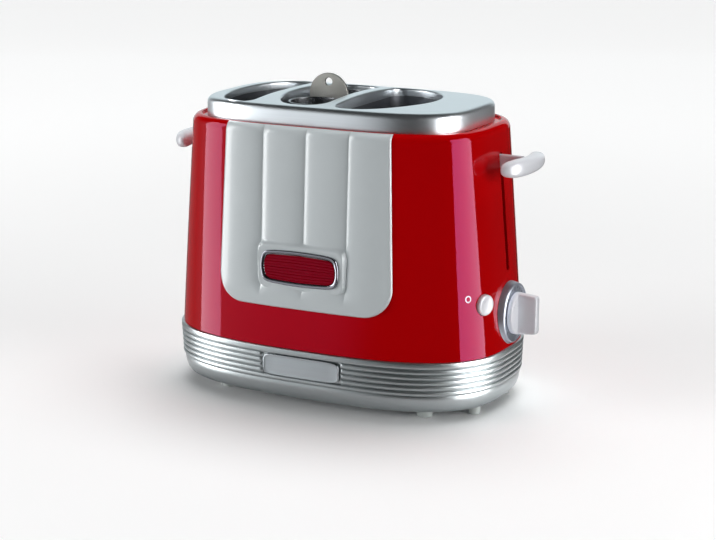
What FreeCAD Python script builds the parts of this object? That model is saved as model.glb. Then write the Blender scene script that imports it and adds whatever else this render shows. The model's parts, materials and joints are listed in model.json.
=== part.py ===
import FreeCAD, Part
import math
import os
import Sketcher

# Hot dog toaster for two buns and two sausages.
# X runs along the long side to the dial end, Y to the back and Z up.
# The origin is on the table, under the middle of the base. Sizes are in millimetres.

SIZES = [
    ("outline_steps", 64, "points on each oval outline"),
    ("seat_gap", 0.2, "gap between a piece and its seat"),
    ("slide_gap", 0.4, "gap beside a piece that slides"),
    ("base_half_width", 125.0, "half of the base's length at its lip"),
    ("base_half_depth", 76.5, "half of the base's depth at its lip"),
    ("base_power", 2.84, "squareness of the base's oval"),
    ("foot_height", 6.0, "height of the feet"),
    ("base_height", 37.0, "height of the base housing"),
    ("base_draft", 1.0, "how much the base narrows from lip to bowl"),
    ("bowl_height", 6.0, "height of the rounded bottom of the base"),
    ("bowl_inset", 2.0, "inset where the bowl starts"),
    ("bowl_flat_inset", 9.0, "inset of the flat underside"),
    ("base_wall", 2.5, "wall of the base"),
    ("base_floor", 2.5, "floor of the base"),
    ("rib_pitch", 3.8, "distance between the base's ribs"),
    ("rib_depth", 0.8, "depth of the grooves between the ribs"),
    ("lip_height", 4.8, "smooth band above the ribs"),
    ("nameplate_left", -29.0, "left end of the bare plate"),
    ("nameplate_right", 30.0, "right end of the bare plate"),
    ("nameplate_thickness", 1.2, "thickness of the bare plate"),
    ("nameplate_proud", 0.1, "how far the bare plate stands out"),
    ("post_x", 104.0, "posts from the middle, along the length"),
    ("post_y", 34.0, "posts from the middle, across"),
    ("post_radius", 4.0, "radius of a post"),
    ("post_height", 28.5, "posts above the base floor"),
    ("screw_radius", 1.5, "radius of a screw's shank"),
    ("screw_head_radius", 3.0, "radius of a screw's head"),
    ("screw_head_height", 1.3, "height of a screw's head"),
    ("screw_length", 12.0, "length of a base screw's shank"),
    ("foot_left_x", -74.0, "left feet"),
    ("foot_right_x", 81.0, "right feet"),
    ("foot_end_x", 109.0, "small feet under the dial end"),
    ("foot_y", 46.0, "feet from the middle, across"),
    ("foot_end_y", 26.0, "small feet from the middle, across"),
    ("foot_radius", 5.5, "radius of a foot at the table"),
    ("foot_end_radius", 4.0, "radius of a small foot at the table"),
    ("foot_flare", 1.0, "how much wider a foot is at its top"),
    ("tray_left", -86.0, "left side of the crumb tray"),
    ("tray_right", 70.0, "right side of the crumb tray"),
    ("tray_front", -54.0, "front of the crumb tray"),
    ("tray_height", 8.0, "height of the crumb tray"),
    ("tray_sheet", 1.2, "wall of the crumb tray"),
    ("tray_lip_width", 34.0, "width of the tray's finger lip"),
    ("tray_lip_reach", 2.6, "how far the finger lip stands out"),
    ("gland_x", -64.0, "cord gland along the length"),
    ("gland_height", 30.0, "cord gland above the table"),
    ("gland_radius", 4.6, "neck of the cord gland"),
    ("gland_flange", 6.5, "radius of the gland's flanges"),
    ("gland_neck", 7.0, "length of the gland's neck"),
    ("gland_sheet", 1.5, "thickness of the gland's flanges"),
    ("cord_slot_width", 6.2, "slot for a flat cord, width"),
    ("cord_slot_height", 3.6, "slot for a flat cord, height"),
    ("shell_half_width", 123.3, "half of the shell's length at its foot"),
    ("shell_half_depth", 74.8, "half of the shell's depth at its foot"),
    ("shell_height", 145.5, "shell from its foot to the shoulder"),
    ("shell_taper_x", 12.8, "how much each end leans in"),
    ("shell_taper_y", 8.8, "how much front and back lean in"),
    ("shell_top_power", 3.4, "squareness of the shell at its shoulder"),
    ("shell_wall", 2.0, "wall of the shell"),
    ("shoulder_height", 7.0, "height of the rounded shoulder"),
    ("shoulder_inset", 5.5, "how far the shoulder curves in"),
    ("rim_power", 3.6, "squareness of the shell's rim"),
    ("ledge_drop", 1.5, "depth of the ledge that carries the top plate"),
    ("ledge_margin", 5.3, "ledge seen outside the top plate at the ends"),
    ("ledge_margin_y", 1.6, "ledge seen outside the top plate at front and back"),
    ("ledge_width", 1.7, "ledge under the top plate"),
    ("plate_half_width", 98.7, "half of the top plate's length"),
    ("plate_half_depth", 58.2, "half of the top plate's depth"),
    ("plate_power", 3.8, "squareness of the top plate"),
    ("plate_sheet", 1.0, "sheet of the top plate"),
    ("plate_band", 10.5, "upright band of the top plate"),
    ("plate_edge_radius", 3.5, "rounded edge of the top plate"),
    ("plate_crown", 3.0, "rise of the top plate to its middle"),
    ("collar_depth", 5.0, "collars folded down round the wells"),
    ("left_well_start", -88.3, "left bun well, round end"),
    ("left_well_middle", -60.0, "left bun well, where the round end starts"),
    ("left_well_end", -51.0, "left bun well, straight side"),
    ("left_well_half_depth", 51.5, "half of the left bun well across"),
    ("left_well_corner", 8.0, "left bun well, corner radius"),
    ("basket_well_start", -43.0, "basket well, round end"),
    ("basket_well_middle", -18.0, "basket well, where the round end starts"),
    ("basket_well_end", 3.0, "basket well, straight side"),
    ("basket_well_half_depth", 49.5, "half of the basket well across"),
    ("basket_well_corner", 14.0, "basket well, corner radius"),
    ("right_well_start", 65.3, "right bun well, round end"),
    ("right_well_middle", 24.0, "right bun well, where the round end starts"),
    ("right_well_end", 11.5, "right bun well, straight side"),
    ("right_well_half_depth", 50.0, "half of the right bun well across"),
    ("right_well_corner", 9.0, "right bun well, corner radius"),
    ("liner_gap", 0.3, "gap between a collar and its liner"),
    ("liner_sheet", 0.5, "sheet of the well liners"),
    ("liner_foot", 1.5, "liner left whole above the deck"),
    ("liner_top_gap", 0.4, "gap between a liner and the top plate"),
    ("window_half_width", 30.0, "liner windows, half of their reach across"),
    ("window_bottom", 30.0, "liner windows above the deck"),
    ("window_height", 108.0, "height of the liner windows"),
    ("window_bar", 5.0, "bars between the liner windows"),
    ("deck_thickness", 1.2, "sheet of the chassis deck"),
    ("deck_gap", 0.75, "gap between deck and base wall"),
    ("deck_hole_margin", 5.0, "deck left inside each liner"),
    ("chassis_sheet", 1.2, "sheet of the chassis ends"),
    ("chassis_left_x", -98.0, "left chassis end"),
    ("chassis_right_x", 74.0, "right chassis end"),
    ("chassis_half_depth", 36.0, "half of a chassis end's depth"),
    ("chassis_top_gap", 6.8, "room between the chassis ends and the shell's ledge"),
    ("chassis_tab", 7.0, "tabs at the foot of the chassis ends"),
    ("chassis_tab_length", 18.0, "length of those tabs"),
    ("chassis_screw_length", 6.0, "length of a chassis screw's shank"),
    ("board_thickness", 1.0, "mica board of a heater"),
    ("board_half_depth", 35.0, "half of a heater board's depth"),
    ("board_bottom", 4.0, "heater boards above the deck"),
    ("board_height", 146.0, "height of the heater boards"),
    ("board_a_x", -94.0, "heater beside the left end"),
    ("board_b_x", -47.2, "heater between left well and basket"),
    ("board_c_x", 7.25, "heater between basket and right well"),
    ("board_d_x", 70.5, "heater beside the right well"),
    ("ribbon_width", 2.0, "width of the heater ribbon"),
    ("ribbon_thickness", 0.3, "thickness of the heater ribbon"),
    ("ribbon_pitch", 7.0, "distance between the ribbon's legs"),
    ("ribbon_start_y", -30.0, "first leg of the ribbon"),
    ("ribbon_second_y", 15.0, "first leg of the ribbon's rear half"),
    ("ribbon_bottom", 12.0, "ribbon above the deck"),
    ("ribbon_height", 130.0, "height of the ribbon's legs"),
    ("blade_y", 6.5, "plane of the carriage, slots and levers"),
    ("blade_thickness", 2.0, "sheet of the carriage"),
    ("blade_slot", 5.0, "slots that the carriage runs in"),
    ("carriage_travel", 70.0, "how far the carriage goes down"),
    ("crossbar_bottom", 113.0, "crossbar above the table, raised"),
    ("crossbar_height", 8.5, "height of the crossbar"),
    ("upright_left_x", -104.5, "left upright and guide rod"),
    ("upright_right_x", 88.0, "right upright and guide rod"),
    ("upright_width", 8.0, "width of an upright"),
    ("stem_height", 8.0, "height of a lever stem"),
    ("lever_middle", 171.0, "levers above the table, raised"),
    ("lever_height", 12.0, "height of a lever"),
    ("lever_tuck", 3.3, "inner side of a lever within the shell's foot"),
    ("lever_width", 18.4, "width of a lever"),
    ("lever_front_y", -16.0, "front end of a lever"),
    ("lever_back_y", 30.0, "rear end of a lever"),
    ("lever_corner", 8.0, "rounded outer corners of a lever"),
    ("lever_bow", 1.5, "how far a lever's outer side swells"),
    ("lever_edge", 3.0, "soft edges of a lever"),
    ("stem_depth", 10.0, "how far a stem goes into its lever"),
    ("lever_slot_width", 4.6, "slot in the shell for a stem"),
    ("lever_slot_room", 1.5, "slot past a stem at both ends of its way"),
    ("rod_radius", 2.0, "guide rods"),
    ("rod_y", 1.5, "guide rods across"),
    ("rod_fit", 0.06, "running fit of the bushings on the rods"),
    ("bushing_size", 8.0, "size of a carriage bushing"),
    ("bushing_height", 10.0, "height of a carriage bushing"),
    ("spring_radius", 3.6, "outer radius of a return spring"),
    ("spring_wall", 1.0, "wall of a return spring"),
    ("cradle_margin", 4.5, "cradles inside the well outlines"),
    ("cradle_sheet", 1.5, "thickness of the cradles"),
    ("cradle_slot", 9.0, "crumb slots in the cradles"),
    ("cradle_bar", 3.5, "bars between those slots"),
    ("armature_length", 13.0, "latch plate on the carriage"),
    ("armature_depth", 12.0, "latch plate across"),
    ("armature_bottom", 130.0, "latch plate above the table, raised"),
    ("armature_thickness", 2.0, "latch plate thickness"),
    ("magnet_radius", 5.5, "coil that holds the carriage down"),
    ("magnet_x", 90.0, "coil along the length"),
    ("magnet_y", 13.5, "coil across"),
    ("switch_x", 83.0, "mains switch along the length"),
    ("switch_y", -26.0, "mains switch across"),
    ("switch_width", 16.0, "mains switch width"),
    ("switch_depth", 14.0, "mains switch depth"),
    ("switch_height", 14.0, "mains switch height"),
    ("bracket_x", 110.0, "bracket behind the dial"),
    ("bracket_sheet", 1.2, "sheet of that bracket"),
    ("bracket_front_y", -16.0, "front edge of the bracket"),
    ("bracket_back_y", 30.0, "rear edge of the bracket"),
    ("bracket_height", 53.0, "height of the bracket"),
    ("bracket_flange", 12.0, "flange that carries the stop switch"),
    ("dial_y", 6.0, "dial across"),
    ("dial_height", 65.8, "dial above the table"),
    ("dial_proud", 2.1, "front rim of the dial bezel past the shell's foot"),
    ("dial_depth", 16.0, "depth of the bezel before the shell trims it"),
    ("dial_radius", 21.0, "dial bezel at its front rim"),
    ("dial_flare", 1.0, "how much wider the bezel is at the shell"),
    ("dial_rim", 1.6, "raised rim of the bezel"),
    ("dial_dish", 1.2, "depth of the bezel's dish"),
    ("knob_radius", 14.6, "knob at its base"),
    ("knob_base", 3.6, "thickness of the knob's round base"),
    ("knob_reach", 16.0, "outer end of the knob's grip past the bezel's rim"),
    ("grip_thickness", 8.0, "grip of the knob"),
    ("grip_scoop", 16.0, "radius of the grip's hollow sides"),
    ("scoop_depth", 0.9, "depth of those hollows"),
    ("knob_edge", 1.2, "rounded outer edge of the grip"),
    ("knob_base_edge", 0.8, "rounded edge of the knob's base"),
    ("shaft_bite", 4.0, "how far the shaft reaches into the grip"),
    ("shaft_radius", 3.0, "shaft of the dial"),
    ("shaft_gap", 0.06, "running fit of the dial shaft"),
    ("shaft_room", 1.0, "room round the shaft in shell and bezel"),
    ("pot_radius", 9.0, "dial control"),
    ("pot_depth", 11.0, "depth of the dial control"),
    ("button_y", -30.2, "stop button on the shell, across"),
    ("button_height", 79.0, "stop button above the table"),
    ("button_turn", 19.0, "degrees that the button turns to the front"),
    ("button_radius", 7.2, "stop button"),
    ("button_proud", 2.5, "how far the stop button stands out"),
    ("button_depth", 5.0, "stop button behind the shell's face"),
    ("button_flange", 8.8, "flange that keeps the button in"),
    ("button_sheet", 1.2, "thickness of that flange"),
    ("button_edge", 1.2, "rounded edge of the button"),
    ("stop_switch_x", 98.0, "stop switch along the length"),
    ("stop_switch_length", 8.0, "stop switch length"),
    ("stop_switch_depth", 11.0, "stop switch across"),
    ("stop_switch_height", 12.0, "stop switch height"),
    ("panel_bottom", 71.5, "front panel's lower edge above the table"),
    ("panel_drop", 0.2, "front panel's upper edge below the rim"),
    ("panel_half_top", 62.7, "half of the front panel at its top"),
    ("panel_half_bottom", 66.5, "half of the front panel at its foot"),
    ("panel_corner", 20.0, "lower corners of the front panel"),
    ("panel_proud", 2.2, "how far the front panel stands out"),
    ("flute_left_x", -32.0, "left groove between the flutes"),
    ("flute_middle_x", 0.8, "middle groove between the flutes"),
    ("flute_right_x", 33.0, "right groove between the flutes"),
    ("flute_radius", 2.4, "radius of those grooves"),
    ("flute_depth", 1.0, "depth of those grooves"),
    ("flute_foot", 8.0, "plain band below those grooves"),
    ("plinth_half_width", 34.0, "half of the plinth behind the badge"),
    ("plinth_bottom", 83.0, "plinth's lower edge above the table"),
    ("plinth_top", 117.0, "plinth's upper edge above the table"),
    ("plinth_setback", 0.1, "plinth's face behind the shell's foot"),
    ("badge_half_width", 27.5, "half of the badge at its corners"),
    ("badge_bulge", 2.5, "how far the badge's sides swell"),
    ("badge_bottom", 89.0, "badge's lower edge above the table"),
    ("badge_height", 22.5, "height of the badge"),
    ("badge_frame", 3.0, "width of the badge's frame"),
    ("badge_proud", 1.7, "how far the badge's frame stands out"),
    ("insert_thickness", 0.8, "red insert of the badge"),
    ("insert_rib", 0.5, "height of the insert's ribs"),
    ("insert_rib_pitch", 1.6, "distance between the insert's ribs"),
    ("tube_radius", 18.4, "sausage tubes"),
    ("tube_sheet", 0.8, "sheet of the sausage tubes"),
    ("tube_x", -16.5, "sausage tubes along the length"),
    ("tube_y", 21.0, "sausage tubes across"),
    ("tube_top", 207.0, "rim of the sausage tubes above the table"),
    ("tube_slot_width", 5.0, "slots in the tubes' sides"),
    ("tube_slot_pitch", 8.0, "distance between those slots"),
    ("tube_slot_rise", 8.0, "slots above the tube's floor"),
    ("tube_slot_height", 46.0, "height of those slots"),
    ("tube_drain", 6.0, "drain hole in a tube's floor"),
    ("bridge_half_width", 8.0, "half of a bridge between the tubes"),
    ("bridge_height", 8.0, "height of a bridge"),
    ("bridge_rise", 2.0, "lower bridge above the handle's foot"),
    ("bridge_drop", 8.0, "upper bridge below the tubes' rims"),
    ("handle_thickness", 2.0, "sheet of the basket's handle"),
    ("handle_half_width", 15.0, "half of the handle's round tab"),
    ("handle_stem_half", 5.0, "half of the handle's narrow stem"),
    ("handle_top", 223.7, "top of the handle above the table"),
    ("handle_shoulder", 203.0, "where the tab starts above the table"),
    ("handle_foot", 150.0, "foot of the handle above the table"),
    ("handle_hole", 2.9, "hole in the handle"),
    ("handle_hole_drop", 6.2, "hole below the handle's top"),
]

doc = FreeCAD.newDocument("hot_dog_toaster")
sheet = doc.addObject("Spreadsheet::Sheet", "Sizes")
for row, (alias, number, note) in enumerate(SIZES, start=1):
    sheet.set(f"A{row}", alias)
    sheet.set(f"B{row}", str(number))
    sheet.setAlias(f"B{row}", alias)
    sheet.set(f"C{row}", note)
doc.recompute()


class Size:
    """A length that knows both its number and the sheet formula behind it."""

    def __init__(self, number, formula):
        self.number = float(number)
        self.formula = formula

    def __float__(self):
        return self.number

    def joined(self, sign, other, number):
        other_formula = other.formula if isinstance(other, Size) else repr(float(other))
        return Size(number, f"({self.formula} {sign} {other_formula})")

    def __add__(self, other):
        return self.joined("+", other, self.number + float(other))

    def __sub__(self, other):
        return self.joined("-", other, self.number - float(other))

    def __mul__(self, other):
        return self.joined("*", other, self.number * float(other))

    def __truediv__(self, other):
        return self.joined("/", other, self.number / float(other))

    def __neg__(self):
        return self * -1


class SizeBook:
    """The sheet's cells as attributes."""

    def __getattr__(self, alias):
        return Size(sheet.get(alias), f"Sizes.{alias}")


s = SizeBook()
NODES = {}


def keep(label, piece):
    """Give a finished piece its name."""
    piece.Label = label
    NODES[label] = piece
    return piece


def point(x, y, z):
    return FreeCAD.Vector(float(x), float(y), float(z))


# Pieces made of boxes and cylinders, bound to the sheet

def formula_of(value):
    return value.formula if isinstance(value, Size) else repr(float(value))


def box(name, low, high):
    """A box between two corners."""
    block = doc.addObject("Part::Box", name)
    for axis, side, first, last in zip("xyz", ("Length", "Width", "Height"), low, high):
        block.setExpression(side, f"{formula_of(last)} - {formula_of(first)}")
        block.setExpression(f"Placement.Base.{axis}", formula_of(first))
    return block


TURNS = {
    "x": FreeCAD.Rotation(FreeCAD.Vector(0, 1, 0), 90),
    "y": FreeCAD.Rotation(FreeCAD.Vector(1, 0, 0), -90),
    "z": FreeCAD.Rotation(),
}


def rod(name, start, radius, length, along="z"):
    """A cylinder from a start point along one axis."""
    bar = doc.addObject("Part::Cylinder", name)
    bar.Placement = FreeCAD.Placement(FreeCAD.Vector(), TURNS[along])
    bar.setExpression("Radius", formula_of(radius))
    bar.setExpression("Height", formula_of(length))
    for axis, place in zip("xyz", start):
        bar.setExpression(f"Placement.Base.{axis}", formula_of(place))
    return bar


def fuse(name, pieces):
    """Several pieces as one."""
    joined = doc.addObject("Part::MultiFuse", name)
    joined.Shapes = pieces
    joined.Refine = True
    return joined


def cut(name, base, tools):
    """A piece without its holes."""
    tool = tools[0] if len(tools) == 1 else fuse(name + "_holes", tools)
    rest = doc.addObject("Part::Cut", name)
    rest.Base = base
    rest.Tool = tool
    rest.Refine = True
    return rest


def formed(name, shape):
    """A piece whose shape comes from lofted ovals."""
    piece = doc.addObject("Part::Feature", name)
    piece.Shape = shape
    return piece


def group(name, pieces):
    """Like pieces kept together as separate solids."""
    together = doc.addObject("Part::Compound", name)
    together.Links = pieces
    return together


# Sheet metal and boards: a sketch in the YZ or XZ plane, padded to its thickness

def sketched(name, plane_role, offset):
    """A body with a sketch on one of its origin planes."""
    body = doc.addObject("PartDesign::Body", name)
    sketch = body.newObject("Sketcher::SketchObject", name + "_outline")
    plane = next(f for f in body.Origin.OriginFeatures if f.Role == plane_role)
    sketch.AttachmentSupport = [(plane, "")]
    sketch.MapMode = "FlatFace"
    sketch.setExpression("AttachmentOffset.Base.z", formula_of(offset))
    return body, sketch


def bind_point(sketch, line, end, across, up):
    """Hold one end of a sketch line at a place bound to the sheet."""
    for kind, place in (("DistanceX", across), ("DistanceY", up)):
        number = sketch.addConstraint(Sketcher.Constraint(kind, -1, 1, line, end, float(place)))
        sketch.setExpression(f"Constraints[{number}]", formula_of(place))


def polygon(sketch, corners):
    """A closed outline of straight lines with every corner bound to the sheet."""
    first_line = sketch.GeometryCount
    places = [FreeCAD.Vector(float(across), float(up), 0) for across, up in corners]
    for index, start in enumerate(places):
        sketch.addGeometry(Part.LineSegment(start, places[(index + 1) % len(places)]))
    for index in range(len(corners)):
        following = (index + 1) % len(corners)
        sketch.addConstraint(
            Sketcher.Constraint("Coincident", first_line + index, 2, first_line + following, 1))
    for index, (across, up) in enumerate(corners):
        bind_point(sketch, first_line + index, 1, across, up)


def circle(sketch, across, up, radius):
    """A round hole bound to the sheet."""
    ring = sketch.addGeometry(
        Part.Circle(FreeCAD.Vector(float(across), float(up), 0), FreeCAD.Vector(0, 0, 1), float(radius)))
    bind_point(sketch, ring, 3, across, up)
    number = sketch.addConstraint(Sketcher.Constraint("Radius", ring, float(radius)))
    sketch.setExpression(f"Constraints[{number}]", formula_of(radius))


def pad(body, sketch, thickness):
    """The sketch padded to a sheet of that thickness."""
    sheet_pad = body.newObject("PartDesign::Pad", body.Name + "_sheet")
    sheet_pad.Profile = sketch
    sheet_pad.setExpression("Length", formula_of(thickness))
    body.Tip = sheet_pad
    return body


# Lofted ovals

def oval(half_width, half_depth, power, height):
    """A smooth closed superellipse in a level plane."""
    steps = int(float(s.outline_steps))
    half_width, half_depth, power = float(half_width), float(half_depth), float(power)
    points = []
    for step in range(steps):
        turn = 2 * math.pi * step / steps
        across, along = math.cos(turn), math.sin(turn)
        reach = (abs(across) ** power + abs(along) ** power) ** (-1 / power)
        points.append(point(half_width * across * reach, half_depth * along * reach, height))
    curve = Part.BSplineCurve()
    curve.interpolate(Points=points, PeriodicFlag=True, Parameters=[float(i) for i in range(steps + 1)])
    return Part.Wire(curve.toShape())


def stack(sections):
    """A closed solid through ovals given as half width, half depth, power and height."""
    return Part.makeLoft([oval(*section) for section in sections], True, True)


BASE_FLOOR = s.foot_height + s.base_floor
BASE_TOP = s.foot_height + s.base_height
BOWL_TOP = s.foot_height + s.bowl_height
RIB_COUNT = 5
RIBS_TOP = BASE_TOP - s.lip_height
RIBS_BOTTOM = RIBS_TOP - s.rib_pitch * RIB_COUNT
DECK_BOTTOM = BASE_FLOOR + s.post_height
DECK_TOP = DECK_BOTTOM + s.deck_thickness
SHELL_BOTTOM = BASE_TOP + s.seat_gap
SHOULDER = BASE_TOP + s.shell_height
RIM = SHOULDER + s.shoulder_height
LEDGE = RIM - s.ledge_drop
PLATE_BOTTOM = LEDGE + s.seat_gap
PLATE_BEND = PLATE_BOTTOM + s.plate_band
PLATE_EDGE = PLATE_BEND + s.plate_edge_radius
CHASSIS_TOP = LEDGE - s.shell_wall - s.chassis_top_gap
FLANGE_HEIGHT = CHASSIS_TOP - s.chassis_sheet - s.seat_gap
LEVER_INNER = s.shell_half_width - s.lever_tuck
LEVER_OUTER = LEVER_INNER + s.lever_width
DIAL_FACE = s.shell_half_width + s.dial_proud
KNOB_FACE = DIAL_FACE + s.knob_reach
PANEL_TOP = RIM - s.panel_drop
PLINTH_FACE = s.shell_half_depth - s.plinth_setback

# A cutter's length, and how far it runs past the face it opens

BIG = 400.0
PAST = 1.0


def base_inset(height):
    """How far the smooth base wall lies inside its lip at a height."""
    return s.base_draft * ((float(BASE_TOP) - float(height)) / (float(BASE_TOP) - float(RIBS_BOTTOM)))


def base_oval(height, inset):
    return (s.base_half_width - inset, s.base_half_depth - inset, s.base_power, height)


def smooth_base(inset, bottom, top):
    """The base wall without its ribs, moved in by an inset."""
    return stack([
        base_oval(bottom, base_inset(RIBS_BOTTOM) + s.bowl_inset + inset),
        base_oval(RIBS_BOTTOM, base_inset(RIBS_BOTTOM) + inset),
        base_oval(top, base_inset(top) + inset),
    ])


def bowl_sections(inset):
    """The ovals of the rounded bottom up to the first rib, moved in by an inset."""
    return [
        base_oval(s.foot_height, s.bowl_flat_inset + inset),
        base_oval(s.foot_height + s.bowl_height / 3, s.bowl_flat_inset / 2 + inset),
        base_oval(BOWL_TOP, base_inset(RIBS_BOTTOM) + s.bowl_inset + inset),
        base_oval(RIBS_BOTTOM, base_inset(RIBS_BOTTOM) + s.rib_depth + inset),
    ]


def ribbed_base():
    """The outside of the base: flat underside, round bowl, ribs and smooth lip."""
    sections = bowl_sections(0.0)
    for rib in range(RIB_COUNT):
        start = RIBS_BOTTOM + s.rib_pitch * rib
        for share, depth in ((0.25, 0.0), (0.75, 0.0), (1.0, 1.0)):
            height = start + s.rib_pitch * share
            sections.append(base_oval(height, base_inset(height) + s.rib_depth * depth))
    lip_start = RIBS_TOP + s.rib_depth
    sections.append(base_oval(lip_start, base_inset(lip_start)))
    sections.append(base_oval(BASE_TOP, base_inset(BASE_TOP)))
    return stack(sections)


def base_depth_at(across):
    """Where the outside of the base wall lies, that far from the middle."""
    share = (float(across) / float(s.base_half_width)) ** float(s.base_power)
    return s.base_half_depth * (1 - share) ** (1 / float(s.base_power))


def shell_oval(height, offset):
    """The shell's outline at a height below its shoulder, moved out by an offset."""
    share = (float(height) - float(BASE_TOP)) / float(s.shell_height)
    power = s.base_power + (s.shell_top_power - s.base_power) * share
    return (s.shell_half_width - s.shell_taper_x * share + offset,
            s.shell_half_depth - s.shell_taper_y * share + offset, power, height)


def shell_form(offset, bottom):
    """The red shell's outside, moved out by an offset and closed at its rim."""
    middle = (float(bottom) + float(SHOULDER)) / 2
    sections = [shell_oval(height, offset) for height in (bottom, middle, SHOULDER)]
    for degrees in (30, 60, 90):
        turn = math.radians(degrees)
        inset = s.shoulder_inset * (1 - math.cos(turn)) - offset
        height = SHOULDER + s.shoulder_height * math.sin(turn)
        power = s.shell_top_power + (s.rim_power - s.shell_top_power) * (degrees / 90)
        sections.append((s.shell_half_width - s.shell_taper_x - inset,
                         s.shell_half_depth - s.shell_taper_y - inset, power, height))
    return stack(sections)


def plate_form(inset, bottom):
    """The top plate's outside, moved in by an inset."""
    half_width = s.plate_half_width - inset
    half_depth = s.plate_half_depth - inset
    radius = s.plate_edge_radius - inset
    sections = [(half_width, half_depth, s.plate_power, bottom),
                (half_width, half_depth, s.plate_power, PLATE_BEND)]
    for degrees in (30, 60, 90):
        turn = math.radians(degrees)
        bend_inset = radius * (1 - math.cos(turn))
        sections.append((half_width - bend_inset, half_depth - bend_inset, s.plate_power,
                         PLATE_BEND + radius * math.sin(turn)))
    flat_width, flat_depth = half_width - radius, half_depth - radius
    for share in (0.85, 0.7, 0.5, 0.3, 0.02):
        height = PLATE_BEND + radius + s.plate_crown * (1 - share * share)
        sections.append((flat_width * share, flat_depth * share, s.plate_power, height))
    return stack(sections)


class Well:
    """A D-shaped well: straight side with round corners, and one elliptic end."""

    def __init__(self, name):
        self.start = getattr(s, name + "_start")
        self.middle = getattr(s, name + "_middle")
        self.end = getattr(s, name + "_end")
        self.half_depth = getattr(s, name + "_half_depth")
        self.corner = getattr(s, name + "_corner")
        self.side = 1.0 if float(self.end) > float(self.start) else -1.0

    def outline(self, offset, height):
        """The outline in a level plane, moved out by an offset."""
        side = self.side
        start = float(self.start) - side * offset
        middle = float(self.middle)
        end = float(self.end) + side * offset
        depth = float(self.half_depth) + offset
        room = abs(end - middle)
        corner = min(max(float(self.corner) + offset, 1.0), room * 0.9)
        round_end = Part.Ellipse(point(middle, side * depth, height), point(start, 0, height),
                                 point(middle, 0, height))
        inner = end - side * corner
        shift = corner * (1 - math.sqrt(0.5))
        edges = [
            Part.ArcOfEllipse(round_end, 0, math.pi).toShape(),
            Part.makeLine(point(middle, -side * depth, height), point(inner, -side * depth, height)),
            Part.Arc(point(inner, -side * depth, height),
                     point(end - side * shift, -side * (depth - shift), height),
                     point(end, -side * (depth - corner), height)).toShape(),
            Part.makeLine(point(end, -side * (depth - corner), height),
                          point(end, side * (depth - corner), height)),
            Part.Arc(point(end, side * (depth - corner), height),
                     point(end - side * shift, side * (depth - shift), height),
                     point(inner, side * depth, height)).toShape(),
            Part.makeLine(point(inner, side * depth, height), point(middle, side * depth, height)),
        ]
        return Part.Wire(edges)

    def prism(self, offset, bottom, top):
        """The outline as a solid between two heights."""
        face = Part.Face(self.outline(float(offset), float(bottom)))
        return face.extrude(point(0, 0, float(top) - float(bottom)))


WELLS = {"left": Well("left_well"), "basket": Well("basket_well"), "right": Well("right_well")}
LINER_INNER = s.plate_sheet + s.liner_gap
LINER_OUTER = LINER_INNER + s.liner_sheet
SLOT_FRONT = s.blade_y - s.blade_slot / 2
SLOT_BACK = s.blade_y + s.blade_slot / 2
BLADE_FRONT = s.blade_y - s.blade_thickness / 2
BLADE_BACK = s.blade_y + s.blade_thickness / 2
CROSSBAR_TOP = s.crossbar_bottom + s.crossbar_height
CRADLE_TOP = CROSSBAR_TOP + s.cradle_sheet
SLOT_TOP = CRADLE_TOP + s.slide_gap * 4


def solid_box(low, high):
    """A plain box solid for cutting lofted pieces."""
    sides = [float(b) - float(a) for a, b in zip(low, high)]
    return Part.makeBox(*sides, point(*low))


def solid_rod(start, radius, length, direction):
    return Part.makeCylinder(float(radius), float(length), point(*start), direction)


Z_AXIS = FreeCAD.Vector(0, 0, 1)
Y_AXIS = FreeCAD.Vector(0, 1, 0)
X_AXIS = FreeCAD.Vector(1, 0, 0)


# Base housing with posts, tray slot, gland hole and the pocket of the bare plate

TRAY_BOTTOM = BASE_FLOOR + s.slide_gap
TRAY_TOP = TRAY_BOTTOM + s.tray_height
POSTS = [(s.post_x * side, s.post_y * end) for side in (-1, 1) for end in (-1, 1)]


def base_housing():
    outside = ribbed_base()
    inner_bowl = base_inset(RIBS_BOTTOM) + s.bowl_inset + s.base_wall
    cavity = stack([
        base_oval(BASE_FLOOR, inner_bowl + s.bowl_inset),
        base_oval(BOWL_TOP, inner_bowl),
        base_oval(RIBS_BOTTOM, base_inset(RIBS_BOTTOM) + s.base_wall),
        base_oval(BASE_TOP + PAST, s.base_wall),
    ])
    shape = outside.cut(cavity)
    tray_slot = solid_box((s.tray_left - s.slide_gap, 0, BASE_FLOOR),
                          (s.tray_right + s.slide_gap, BIG, TRAY_TOP + s.slide_gap))
    plate_pocket = solid_box((s.nameplate_left, -BIG, RIBS_BOTTOM + s.rib_pitch),
                             (s.nameplate_right, 0, RIBS_TOP))
    plate_pocket = plate_pocket.cut(smooth_base(s.nameplate_thickness + s.seat_gap, BOWL_TOP, BASE_TOP))
    gland_hole = solid_rod((s.gland_x, 0, s.gland_height), s.gland_radius + s.seat_gap, BIG, Y_AXIS)
    shape = shape.cut([tray_slot, plate_pocket, gland_hole])
    posts = [solid_rod((x, y, BASE_FLOOR - PAST), s.post_radius, s.post_height + PAST, Z_AXIS)
             for x, y in POSTS]
    shape = shape.fuse(posts)
    holes = []
    for x, y in POSTS:
        holes.append(solid_rod((x, y, s.foot_height - PAST), s.screw_head_radius + s.seat_gap,
                               s.screw_head_height + s.seat_gap * 2 + PAST, Z_AXIS))
        holes.append(solid_rod((x, y, s.foot_height), s.screw_radius + s.seat_gap,
                               s.screw_length + s.screw_head_height + PAST, Z_AXIS))
    return shape.cut(holes).removeSplitter()


keep("base_housing", formed("BaseHousing", base_housing()))

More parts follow.
